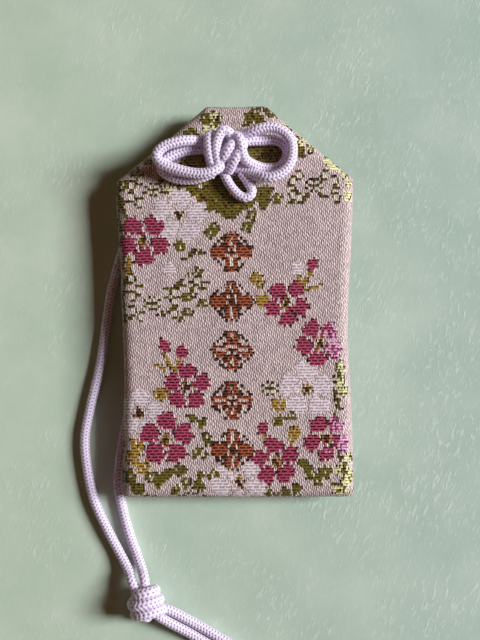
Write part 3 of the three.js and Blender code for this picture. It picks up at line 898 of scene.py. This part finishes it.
SCROLLS = [
    [(-12.4, 3), (-10.4, 4.9), (-7.8, 6.8)], [(-7.8, 6.6), (-7.6, 4.9)],
    [(-8.2, 2.6), (-6.6, 2.2)], [(-13.7, 1.9), (-11.4, 3), (-9, 3.8), (-6, 3.5)],
    [(-9.4, 2.2), (-9, 0.9)], [(-16.2, -3.2), (-14.4, -2.6)], [(-12.8, -4.1), (-11.4, -4.4)],
    [(-23.8, 2.2), (-22.6, 1.4)], [(-22.8, -3.9), (-24.2, -4.9)], [(18, 21.6), (19.4, 21.5)],
    [(-23.5, -43.2), (-16.5, -43.2)], [(-13.5, -43.2), (-3.5, -43)], [(3, -43), (14, -43.2)],
    [(17, -43.2), (23.5, -43)], [(-10.8, 8.6), (-8.6, 10.4), (-6.8, 9.6)],
    [(10.8, 20), (13.6, 20.6), (15.4, 22)], [(-7, -34.2), (-5.8, -31), (-7.2, -28)],
    [(21.4, -13.6), (22.6, -17), (21.2, -20.6), (22, -24.2)],
    [(20.2, -18.6), (22, -21.4), (20.4, -24.8)], [(20.8, -32.6), (22.6, -35.6), (21, -39)],
    [(19.4, -38.4), (22.4, -39.6), (23.6, -37.2)], [(-23.6, 20), (-22.6, 15.8), (-23.8, 11)],
    [(-23.4, 4.4), (-24.4, 0.2), (-23.2, -5)], [(-23.2, -37.4), (-21, -40.6), (-17.6, -41.4)],
    [(-13, -41.6), (-9.6, -40.2), (-6.4, -41.8)], [(5.4, -41.4), (9, -40.8), (13.4, -41.8)],
    [(-24.6, -30), (-25.2, -34), (-24.4, -38)], [(-25, 24), (-24.2, 20), (-25.2, 16)],
]
# Olive vines painted with pale lime highlights where the shiny thread catches the light, with olive and shaded cells
# between.
HIGHLIT_VINES = [
    [(19.5, 29.8), (20.2, 27.6)], [(21.8, 28.2), (23.2, 26.8)], [(23.6, 25), (23.9, 24.4)],
    [(23.6, 21.9), (23.9, 21.4)], [(14, 33.4), (16, 31.6)],
    [(22.6, -14.2), (21.6, -17.2), (23, -20.2)], [(23.6, -33.2), (22.2, -34.8), (20.8, -36.2)],
    [(-15.6, 24.6), (-14.4, 23.6), (-13, 23.2)], [(23.7, -36.8), (22.2, -38.6)],
    [(20.6, -40.4), (22, -39.8)], [(24.6, -40.2), (24.4, -41.2)],
]
BOW_LEAVES = [
    (-5.2, 20.6, 155, 8, 4.4), (-2.4, 20, 100, 7, 4), (1.8, 21, 60, 8, 4.6), (5.2, 22, 20, 6, 3.4),
    (-7.4, 27.6, 170, 10, 7), (6.2, 30, 10, 14, 9), (-0.9, 18.2, 90, 3.4, 3),
    (-9.2, 23, 10, 5, 2.2), (-3.8, 24.2, 10, 7.4, 4), (1, 24.6, 60, 5.4, 3.6),
]
# Leaves at the top; the lime ones are olive thread painted with a lime highlight.
TOP_LEAVES = [
    (-5.4, 38.2, 150, 5.6, 3.4, "olive"), (-5.6, 36.2, 60, 3.6, 2.6, "lime_highlight"),
    (-4.4, 39, 30, 3, 2, "lime_highlight"), (3.4, 38.8, 50, 5.4, 3, "olive"),
    (5.4, 37.4, 120, 4.2, 2.4, "olive"), (-9.8, 35, 40, 4.2, 2.6, "olive"),
    (7.4, 39.8, 140, 4, 2.4, "olive"), (-11.4, 33, 120, 3.8, 2.2, "olive"),
    (13, 31.6, 130, 5, 2.6, "olive"), (-4.6, 42.6, 10, 5, 2.2, "olive"),
    (4.6, 42.4, 170, 5, 2.4, "olive"), (10.8, 36.6, 140, 3.6, 1.8, "lime_highlight"),
]
MEDALLIONS = [(-1, 9.8), (-1, -0.6), (-1, -11), (-1, -21.4), (-1, -31.6)]
print(len(MAGENTA_BLOSSOMS) + len(WHITE_BLOSSOMS), "blossoms,", len(FLORETS), "florets")

# %% Weave the motifs into cells
def motif_threads(x, y, motifs_on_face):
    """The number of the thread that shows at each cell centre, in mm on the flat cloth."""
    thread = np.zeros(x.shape, int)
    column, row = np.floor(x / WARP), np.floor(y / WEFT)
    checker = (column + row) % 2 == 0
    luck = chance(column, row)
    true_x, true_y = x, y
    x, y = x + 0.34 * (chance(row, 4.1) - 0.5), y + 0.6 * (chance(column, 8.7) - 0.5)

    def lay_in(mask, name):
        thread[mask] = NAMES.index(name)

    def from_cell(cx, cy):
        return column - round(cx / WARP), row - round(cy / WEFT)

    if motifs_on_face:
        for cx, cy, turn, length, width in BOW_LEAVES:
            body, rib = leaf(x - cx, y - cy, length, width, turn)
            under_bow = cy > 25
            # Under the bow the olive is painted lighter, as painted fill light in the bow's shadow.
            lay_in(body, "fill_lit_olive" if under_bow else "olive")
            lay_in(body & ((rib & checker) | (luck < (0.07 if under_bow else 0.03))), "brown")
            lay_in(body & (luck > (0.93 if under_bow else 0.98)), "ochre")
    for cx, cy, turn, length, width, name in TOP_LEAVES:
        body, rib = leaf(x - cx, y - cy, length, width, turn)
        lay_in(body & ~(rib & checker), name)
        lay_in(body & (name == "lime_highlight") & (luck < 0.25), "shade")
        lay_in(body & (name == "olive") & (cx > 0) & (luck < 0.2), "brown")
    for points in SCROLLS:
        lay_in(near_line(x, y, points, 0.8) & (luck > 0.22), "vine")
    # Painted highlights: lime cells on the olive vines, with olive and shaded cells between.
    for points in HIGHLIT_VINES:
        near = near_line(x, y, points, 1.9)
        lay_in(near & (luck > 0.5), "lime_highlight")
        lay_in(near & (luck < 0.25), "olive")
        lay_in(near & (luck < 0.1), "shade")
    for spot in FLORETS:
        outline, heart, petals = floret(*from_cell(*spot))
        lay_in(petals, "glint")
        lay_in(outline, "vine")
        lay_in((outline & (luck < 0.16)) | heart, "shade")
    for *spot, opens in CURLS:
        line, bead = curl(*from_cell(*spot), opens)
        lay_in(bead, "glint")
        lay_in(line, "vine")
        lay_in(line & (luck < 0.16), "shade")
    for points in STEMS:
        lay_in(near_line(x, y, points, 0.7), "ochre")
    small_leaves = [(*leaf_at, leaf_at[3] * 0.62, "olive") for leaf_at in OLIVE_LEAVES]
    small_leaves += [(*leaf_at, 4.2, 2.6, "ochre") for leaf_at in OCHRE_LEAVES]
    for cx, cy, turn, length, width, name in small_leaves:
        body, rib = leaf(x - cx, y - cy, length, width, turn)
        lay_in(body & ~(rib & checker), name)
    for cx, cy, turn, name in BUDS:
        lay_in(leaf(x - cx, y - cy, 3.2, 2.5, turn)[0], name)
    for group, name in ((WHITE_BLOSSOMS, "white"), (MAGENTA_BLOSSOMS, "magenta")):
        for cx, cy, radius, turn in group:
            ragged = (0.9 if name == "white" else 0.6) * (chance(row, 6.3) - 0.5)
            petal, stalk = blossom(x - cx + ragged, y - cy, radius, turn)
            inside = np.hypot(x - cx, y - cy)
            lay_in(inside < radius * 0.42, "ground")
            lay_in(petal | (stalk & (luck > 0.5)), name)
            # Painted highlight: towards the right edge more magenta petal cells turn pink-white, where the cloth
            # curves to the light.
            lay_in(petal & (x > 18.6) & (luck < (x - 17.5) / 7) & (name == "magenta"), "pink_highlight")
            lay_in(inside < 0.75, "brown")
            lay_in((inside < 1.25) & (inside > 0.6) & (luck > 0.6), "ochre")
    if motifs_on_face:
        for cx, cy in MEDALLIONS:
            body, heart, outline = flower_diamond(true_x - cx, true_y - cy, 5.0)
            lay_in(np.abs(x - cx) / 5.6 + np.abs(y - cy) / 5.3 < 1, "ground")
            lay_in(body, "copper")
            lay_in(heart | outline, "brown")
    return thread


def weave(x, y, motifs_on_face):
    """Adds dark gaps and bright warps beside a motif's floats, as painted shade and painted highlights."""
    thread = motif_threads(x, y, motifs_on_face)
    luck = chance(np.floor(x / WARP), np.floor(y / WEFT), 3)
    strong = np.array([name not in ("ground", "white", "glint") for name in NAMES])
    beside = strong[motif_threads(x + WARP, y, motifs_on_face)]
    beside |= strong[motif_threads(x - WARP, y, motifs_on_face)]
    edge = (thread == NAMES.index("ground")) & beside
    thread[edge & (luck < 0.3)] = NAMES.index("shade")
    thread[edge & (luck > 0.55)] = NAMES.index("glint")
    return thread


trial = weave(np.array([-14.9, 20.0]), np.array([-26.0, 10.0]), True)
print("petal and ground cells:", [NAMES[k] for k in trial])

# %% [markdown]
# ## The brocade's finish
# On the ground the warp shows as short upright grains, two to each repeat of a slanting satin
# lattice, with faint warps between them. On the motifs the coloured weft lies across in slightly
# wavy rows, and warps that hold it down bridge the gaps between the rows. A node group draws
# both from a UV map that counts threads, and the per-cell attributes say which one shows and in
# what colour. Light that falls between two threads is coloured twice and shaded, so the gaps are
# painted darker and deeper in hue than the threads, as painted shade.

# %% Woven threads group
GRAIN_ACROSS, GRAIN_DOWN, GRAIN_SKEW, GRAIN_LEAN = 0.84, 1.02, 0.14, -0.07
GRAIN_WIDTH, GRAIN_LENGTH = 0.19, 0.5
HELD_EVERY = 4.2
woven, given, result = new_group(
    "woven_threads", {"Float": "Float"}, {"Thread": "Float", "Uneven": "Float"},
)
counted = add_node("UVMap", uv_map="threads").outputs["UV"]
axes = add_node("SeparateXYZ", {"Vector": counted}).outputs
warps, wefts = axes["X"], axes["Y"]
sway = noise(counted, 0.34, 2)
wavy = calc("MULTIPLY_ADD", sway["Fac"], 0.6, wefts)
weft_round = calc("ABSOLUTE", calc("SINE", calc("MULTIPLY", wavy, math.pi)))
from_left = calc("MULTIPLY", warps, WARP)
slanting = calc("MULTIPLY_ADD", wefts, GRAIN_SKEW * WEFT / GRAIN_DOWN, from_left)
lattice = add_node("CombineXYZ", {
    "X": calc("DIVIDE", slanting, GRAIN_ACROSS),
    "Y": calc("MULTIPLY", wefts, -WEFT / GRAIN_DOWN),
}).outputs[0]
lattice = vector("MULTIPLY_ADD", sway["Color"], (0.55, 0.8, 0), lattice)
turns = calc("MULTIPLY", vector("DOT_PRODUCT", lattice, (1, 0, 0)), 4 * math.pi)
ground = calc("MULTIPLY_ADD", calc("COSINE", turns), 0.22, 0.22)
grain_side = (GRAIN_ACROSS / GRAIN_WIDTH, GRAIN_LEAN / GRAIN_WIDTH, 0)
for aside in (0.0, 0.5):
    near = vector("ADD", lattice, (aside, aside, 0))
    near = vector("WRAP", near, (0.5, 0.5, 0.5), (-0.5, -0.5, -0.5))
    across = vector("DOT_PRODUCT", near, grain_side)
    along = vector("DOT_PRODUCT", near, (0, GRAIN_DOWN / GRAIN_LENGTH, 0))
    away = calc("MULTIPLY_ADD", along, along, calc("MULTIPLY", across, across))
    ground = calc("MAXIMUM", ground, calc("SUBTRACT", 1.0, away))
hold = calc("DIVIDE", warps, HELD_EVERY)
hold = calc("FRACT", calc("MULTIPLY_ADD", calc("ROUND", wavy), 0.382, hold))
held = calc("MULTIPLY", ramp(hold, 0, 0.06), ramp(hold, 0.26, 0.2))
rows = calc("POWER", weft_round, 2.4)
floats = calc("MAXIMUM", rows, calc("MULTIPLY", held, 0.62))
picked = add_node("Mix", {0: given["Float"], 2: ground, 3: floats}).outputs[0]
cell = {"X": calc("FLOOR", warps), "Y": calc("FLOOR", wefts)}
cell = add_node("CombineXYZ", cell).outputs[0]
varied = add_node("TexWhiteNoise", {"Vector": cell}, noise_dimensions="2D")
fill(result, {"Thread": picked, "Uneven": varied.outputs["Value"]})

brocade_finish, shader = new_material("silk_brocade", Sheen_Weight=0.03, Sheen_Roughness=0.45)
dyed = add_node("Attribute", attribute_name="thread_colour").outputs
is_float = add_node("Attribute", attribute_name="float_cell").outputs["Fac"]
threads = add_node("Group", {"Float": is_float}, node_tree=woven).outputs
toned = dimmed(dyed["Color"], ramp(threads["Uneven"], 0, 1, 0.8, 1.1))
# Painted shade: the gaps between the threads are darkened by each thread's gap depth.
dim = mix_colour(1.0, toned, (0.35, 0.35, 0.35, 1), "MULTIPLY")
deep = mix_colour(dyed["Alpha"], toned, dim, "MULTIPLY")
lit = ramp(threads["Thread"], 0, 0.75)
fill(shader, {
    "Base Color": mix_colour(lit, deep, toned),
    "Specular IOR Level": calc("MULTIPLY", lit, 0.3),
    "Roughness": calc("MULTIPLY_ADD", is_float, -0.22, 0.72),
    "Normal": bump(threads["Thread"], 0.7, 0.09),
})
print("finish:", brocade_finish.name)

# %% [markdown]
# ## The front panel
# The flat cloth is cut with planes, its cells are coloured, and then it is rolled over the
# pouch's edge: a point beyond the flat part goes round the edge by the same length, and the
# last millimetre turns into the seam. Around the knot the cloth is drawn in a little.

# %% Outline of the pouch and its sides
OUTLINE = [(24.1, -41.5), (25, 25.5), (6.5, 41.5), (-6.5, 41.5), (-25, 25.5), (-24.1, -41.5)]
EDGE_ROLL, SEAM, GROOVE = 2.6, 0.65 * FACE, 0.9


def outline_sides():
    """Each side's outward direction and its distance from the middle."""
    sides = []
    for (ax, ay), (bx, by) in zip(OUTLINE, OUTLINE[1:] + OUTLINE[:1]):
        length = math.hypot(bx - ax, by - ay)
        out = np.array(((by - ay) / length, (ax - bx) / length))
        sides.append((out, out[0] * ax + out[1] * ay))
    return sides


def corner_of(one, two, reach):
    """Where two sides meet when both are moved outward by a reach."""
    return np.linalg.solve(
        np.array([SIDES[one][0], SIDES[two][0]]),
        np.array([SIDES[one][1] + reach, SIDES[two][1] + reach]),
    )


def polygon_area(reach):
    """Area inside the outline moved out by a reach, in square metres."""
    corners = [corner_of(one, (one + 1) % len(SIDES), reach) for one in range(len(SIDES))]
    total = sum(a[0] * b[1] - b[0] * a[1] for a, b in zip(corners, corners[1:] + corners[:1]))
    return abs(total) / 2 * MM**2


SIDES = outline_sides()
FRONT_EDGE = SEAM + GROOVE / 2
ROLL_HEIGHT = FACE - FRONT_EDGE
ROLL_RUN = math.pi / 2 * math.sqrt((EDGE_ROLL**2 + ROLL_HEIGHT**2) / 2)
HEM_BEND, HEM = 0.35, 0.4
CLOTH_MARGIN = ROLL_RUN + HEM_BEND * math.pi / 2 + HEM
print("cloth beyond the flat part:", round(CLOTH_MARGIN, 2), "mm")

# %% Cloth grid, cells and relief
CLOTH, FLOAT_LIFT = 0.5, 0.09
HOLE_RADIUS, HOLE_REACH = 2.5, 4


def cloth_grid(name, half_width, half_height, reach):
    """A flat grid with one uneven face for each crossing, cut along the outline plus a reach."""
    bm = bmesh.new()
    columns = 2 * math.ceil(half_width / WARP)
    rows = 2 * math.ceil(half_height / WEFT)
    bmesh.ops.create_grid(bm, x_segments=columns, y_segments=rows, size=1)
    bmesh.ops.scale(bm, verts=bm.verts, vec=(columns * WARP / 2, rows * WEFT / 2, 1))
    for out, distance in SIDES:
        bmesh.ops.bisect_plane(
            bm, geom=[*bm.verts, *bm.edges, *bm.faces], dist=1e-4,
            plane_co=(*(out * (distance + reach)), 0), plane_no=(*out, 0), clear_outer=True,
        )
    hole = [f for f in bm.faces if math.dist(f.calc_center_median()[:2], HOLE) < HOLE_RADIUS]
    bmesh.ops.delete(bm, geom=hole, context="FACES")
    for vert in bm.verts:
        if not vert.is_boundary:
            count = (round(vert.co.x / WARP), round(vert.co.y / WEFT))
            vert.co.x += 0.55 * WARP * (chance(*count, 1) - 0.5)
            vert.co.y += 0.5 * WEFT * (chance(*count, 2) - 0.5)
        elif math.dist(vert.co[:2], HOLE) < HOLE_REACH:
            out = (vert.co.xy - Vector(HOLE)).normalized() * HOLE_RADIUS
            vert.co.xy = Vector(HOLE) + out
    mesh = bpy.data.meshes.new(name)
    bm.to_mesh(mesh)
    bm.free()
    return mesh


def dye_cells(mesh, flat, thread_of):
    """Gives every face its thread's colour, and every corner its place in thread counts."""
    vertex = read(mesh.loops, "vertex_index", kind=int)
    sizes = read(mesh.polygons, "loop_total", kind=int)
    face = np.repeat(np.arange(len(sizes)), sizes)
    middle = np.zeros((len(sizes), 2))
    np.add.at(middle, face, flat[vertex, :2])
    middle /= sizes[:, None]
    cell = (np.floor(middle / (WARP, WEFT)) + 0.5) * (WARP, WEFT)
    thread = thread_of(cell[:, 0], cell[:, 1])
    colours = np.array([[*srgb(*rgb)[:3], depth] for *rgb, _, depth in THREADS.values()])[thread]
    floats = np.array([floating for *_, floating, _ in THREADS.values()], float)[thread]
    dye = mesh.attributes.new("thread_colour", "FLOAT_COLOR", "FACE")
    dye.data.foreach_set("color", colours.ravel())
    mesh.attributes.new("float_cell", "FLOAT", "FACE").data.foreach_set("value", floats)
    counted = flat[vertex, :2] / (WARP, WEFT)
    mesh.uv_layers.new(name="threads").data.foreach_set("uv", counted.ravel())
    lift, count = np.zeros(len(flat)), np.zeros(len(flat))
    np.add.at(lift, vertex, floats[face])
    np.add.at(count, vertex, 1)
    return lift / np.maximum(count, 1)


def finish_cloth(mesh, placed, lift, node):
    """Raises the floats, gives the cloth its thickness and puts it on the pouch."""
    mesh.vertices.foreach_set("co", (placed * MM).ravel())
    mesh.update()
    normal = read(mesh.vertices, "normal", 3)
    raised = placed * MM + normal * (FLOAT_LIFT * MM * lift)[:, None]
    mesh.vertices.foreach_set("co", raised.ravel())
    mesh.polygons.foreach_set("use_smooth", np.ones(len(mesh.polygons), bool))
    mesh.update()
    piece = show(mesh.name, mesh)
    wall = piece.modifiers.new("cloth_thickness", "SOLIDIFY")
    wall.thickness, wall.offset = CLOTH * MM, -1
    return dress(piece, brocade_finish, "brocade", [node], "pouch")


print("cells of", WARP, "by", WEFT, "mm")

# %% Roll the front panel over the edge
def roll_over(distance):
    """How far out and how far down a point lies, at a distance of cloth beyond the flat part."""
    turn = np.clip(distance / ROLL_RUN, 0, 1) * math.pi / 2
    tuck = np.clip((distance - ROLL_RUN) / HEM_BEND, 0, math.pi / 2)
    inward = np.maximum(distance - ROLL_RUN - HEM_BEND * math.pi / 2, 0)
    out = EDGE_ROLL * np.sin(turn) - HEM_BEND * (1 - np.cos(tuck)) - inward
    return np.where(distance > 0, out, distance), np.cos(turn), HEM_BEND * np.sin(tuck)


def settled(placed):
    """The soft edge has drawn in at the waist and bulges at the left shoulder."""
    x, y = placed[:, 0], placed[:, 1]
    right = -1.2 * np.exp(-(((y + 6) / 17) ** 2))
    left = 0.5 * np.exp(-(((y + 17) / 14) ** 2)) - 0.8 * np.exp(-(((y - 22) / 9) ** 2))
    shift = np.where(x > 0, right, left) * np.clip(np.abs(x) / 25, 0, 1) ** 2
    return placed + np.column_stack([shift, 0 * x, 0 * x])


def roll_front(flat):
    x, y = flat[:, 0], flat[:, 1]
    place = flat[:, :2]
    beyond = np.array([place @ out - (reach - EDGE_ROLL) for out, reach in SIDES])
    nearest = beyond.argmax(axis=0)
    distance = np.maximum(beyond.max(axis=0), 0)
    outward = np.array([out for out, _ in SIDES])[nearest]
    rolled = place - outward * (distance - roll_over(distance)[0])[:, None]
    for one in range(len(SIDES)):
        two = (one + 1) % len(SIDES)
        corner = corner_of(one, two, -EDGE_ROLL)
        ahead = (place - corner) @ (-SIDES[one][0][1], SIDES[one][0][0])
        behind = (place - corner) @ (-SIDES[two][0][1], SIDES[two][0][0])
        fan = (ahead > 0) & (behind < 0)
        if SIDES[one][0].dot(SIDES[two][0]) < 0.3:
            distance[fan] = (beyond[one][fan] ** 4 + beyond[two][fan] ** 4) ** 0.25
        share = roll_over(distance[fan])[0] / np.maximum(distance[fan], 1e-6)
        rolled[fan] = corner + (place[fan] - corner) * share[:, None]
    _, high, sunk = roll_over(distance)
    placed = np.column_stack([rolled, FRONT_EDGE + ROLL_HEIGHT * high - sunk])
    from_hole = np.hypot(x - HOLE[0], y - HOLE[1])
    angle = np.arctan2(y - HOLE[1], x - HOLE[0])
    drawn = 0.32 * np.exp(-((from_hole / 5.5) ** 2))
    pleat = 0.16 * np.cos(5 * angle + 0.6) * np.exp(-(((from_hole - 8) / 4.5) ** 2))
    slack = 0.10 * np.sin(x * 0.21 + 0.6) * np.cos(y * 0.13 + 1.1)
    slack += 0.06 * np.sin(0.33 * x - 0.27 * y)
    crown = 0.22 * np.clip(1 - (x / 24) ** 2, 0, 1) * np.clip(1 - (y / 41) ** 2, 0, 1)
    from_edge = np.min([reach - out[0] * x - out[1] * y for out, reach in SIDES], axis=0)
    placed[:, 2] += (crown + slack + pleat - drawn) * high * np.clip((from_edge - 2.2) / 6, 0, 1)
    return settled(placed)


front_reach = CLOTH_MARGIN - EDGE_ROLL
front_mesh = cloth_grid("brocade_front_cloth", 27, 45, front_reach)
flat = read(front_mesh.vertices, "co", 3)
lift = dye_cells(front_mesh, flat, lambda x, y: weave(x, y, True))
front_cloth = finish_cloth(front_mesh, roll_front(flat), lift, "brocade_front")
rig.sheet(
    front_cloth, flat=((50 + 2 * front_reach) * MM, (83 + 2 * front_reach) * MM), held="folded",
    rests_on=["lining_front"], area=polygon_area(front_reach),
)
print("front cloth:", len(front_mesh.polygons), "cells")

# %% [markdown]
# ## The back panel
# The back lies on the table on a flat seat under the tablet and slopes up to the seam. The cloth
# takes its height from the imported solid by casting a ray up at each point, is eased where the
# solid has a crease, and turns into the seam like the front.

# %% Back panel
HEM_STEPS = ((0.10, 0.26), (0.42, 0.12))
EASING_ROUNDS = 14


def back_heights(flat):
    solid = frame["nodes"]["brocade_back"].data
    corners = [v.co for v in solid.vertices]
    faces = BVHTree.FromPolygons(corners, [p.vertices for p in solid.polygons])
    heights = []
    for x, y in flat[:, :2] * MM:
        hit = faces.ray_cast(Vector((x, y, -0.01)), Vector((0, 0, 1)), 0.02)[0]
        near = hit or faces.find_nearest(Vector((x, y, 0.003)))[0]
        heights.append(near.z / MM)
    return np.array(heights)


def eased(mesh, heights):
    a, b = read(mesh.edges, "vertices", 2, int).T
    size = len(heights)
    count = np.bincount(np.concatenate([a, b]), minlength=size)
    for _ in range(EASING_ROUNDS):
        total = np.bincount(a, heights[b], size) + np.bincount(b, heights[a], size)
        heights = 0.5 * heights + 0.5 * total / np.maximum(count, 1)
    return heights


back_mesh = cloth_grid("brocade_back_cloth", 25.4, 42, -0.06)
back_bm = bmesh.new()
back_bm.from_mesh(back_mesh)
rim = [e for e in back_bm.edges if e.is_boundary]
rim = [e for e in rim if math.dist(e.verts[0].co[:2], HOLE) > HOLE_REACH]
for inward, rise in HEM_STEPS:
    grown = bmesh.ops.extrude_edge_only(back_bm, edges=rim)["geom"]
    rim = [g for g in grown if isinstance(g, bmesh.types.BMEdge)]
    for vert in {v for e in rim for v in e.verts}:
        spot = np.array(vert.co[:2])
        out = max(SIDES, key=lambda side: side[0].dot(spot) - side[1])[0]
        vert.co.xy = spot - out * inward
        vert.co.z += rise
bmesh.ops.reverse_faces(back_bm, faces=back_bm.faces)
back_bm.to_mesh(back_mesh)
back_bm.free()
flat = read(back_mesh.vertices, "co", 3)
lift = dye_cells(back_mesh, flat, lambda x, y: weave(-x, y, False))
heights = back_heights(flat)
sloped = flat.copy()
sloped[:, 2] += np.maximum(eased(back_mesh, heights), heights)
sloped[:, 2] = np.maximum(sloped[:, 2], 0.12 * np.clip(lift, 0, 1))
back_cloth = finish_cloth(back_mesh, settled(sloped), lift, "brocade_back")
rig.sheet(
    back_cloth, flat=(50.6 * MM, 83.6 * MM), held="folded",
    rests_on=["lining_back"], area=polygon_area(0.3),
)
print("back cloth:", len(back_mesh.polygons), "cells")

# %% [markdown]
# ## Seam thread
# Ladder stitches close each side seam in the groove between the two hems. The thread is two
# plies twisted together, made with the same tube as the cord, and much finer.

# %% Seam threads
SEAM_THREAD, SEAM_STITCH = 0.3, 5
thread_finish = yarn_finish(
    "seam_thread", srgb(176, 158, 146), srgb(96, 82, 74), 14000,
    Roughness=0.6, Specular_IOR_Level=0.35,
)
(foot_x, foot_y), (shoulder_x, shoulder_y) = OUTLINE[:2]
start, stop = foot_y + 3.2, shoulder_y - 1.6
stitches = round((stop - start) / SEAM_STITCH)
for name, side in (("right", 1), ("left", -1)):
    route = []
    for t in np.linspace(0, 1, 8 * stitches + 1):
        y = start + t * (stop - start)
        edge = foot_x + (shoulder_x - foot_x) * (y - foot_y) / (shoulder_y - foot_y)
        ladder = 0.2 * math.cos(2 * math.pi * stitches * t) - 0.35
        route.append((side * (edge + ladder), y, SEAM + 0.14))
    path = smooth_path(settled(np.array(route)), SEAM_STEP)
    piece = rolled_tube(f"{name}_seam_stitches", path, SEAM_THREAD, 0.06, twist_surface, 10, 0.1)
    dress(piece, thread_finish, "seam_thread", [f"{name}_seam_thread"], "pouch")
    print(piece.name, stitches, "stitches")

# %% [markdown]
# ## Inside the pouch
# The lining, the card, the paper wrapper and the wooden tablet are hidden by the cloth. Their
# solids are right as they are, so each keeps its solid and only gets a finish of its own, with
# soft streaks that are stretched along one direction.

# %% Finishes of the inner layers
INNER_LAYERS = {
    "felt_lining": (
        ("lining_front", "lining_back"),
        srgb(236, 231, 220), srgb(214, 206, 192), 2600, (1, 1, 1), 0.1, 0.9,
    ),
    "grey_board": (
        ("stiffener_card",),
        srgb(220, 208, 188), srgb(196, 182, 160), 900, (1, 1.6, 1), 0.06, 0.85,
    ),
    "cypress_wood": (
        ("wooden_tablet",),
        srgb(226, 196, 150), srgb(190, 150, 100), 500, (3.2, 0.12, 1), 0.05, 0.55,
    ),
    "folded_paper": (
        ("tablet_wrapper",),
        srgb(246, 243, 235), srgb(230, 224, 212), 1200, (1, 0.3, 1), 0.04, 0.8,
    ),
    "brocade_reverse": (
        ("left_shoulder_tuck", "right_shoulder_tuck"),
        srgb(206, 188, 180), srgb(160, 138, 128), 2400, (2.2, 0.6, 1), 0.1, 0.8,
    ),
}
for name, (nodes, pale, dark, scale, stretch, relief, roughness) in INNER_LAYERS.items():
    material, shader = new_material(name, Roughness=roughness)
    mapped = add_node("Mapping", {"Vector": object_place(), "Scale": stretch})
    streaks = noise(mapped.outputs[0], scale, 6)["Fac"]
    colour = mix_colour(ramp(streaks, 0.32, 0.68), dark, pale)
    fill(shader, {"Base Color": colour, "Normal": bump(streaks, 0.3, relief)})
    for node in nodes:
        frame["nodes"][node].data.materials.clear()
        frame["nodes"][node].data.materials.append(material)
    print(name, "on", ", ".join(nodes))

# %% Size and finish
visual_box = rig.bounds()
with open("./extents.json", "w") as size_file:
    json.dump({"cad": [list(p) for p in cad_box], "visual": [list(p) for p in visual_box]}, size_file)
for label, (low, high) in (("solids", cad_box), ("dressed", visual_box)):
    print(label, [round((b - a) / MM, 2) for a, b in zip(low, high)], "mm")
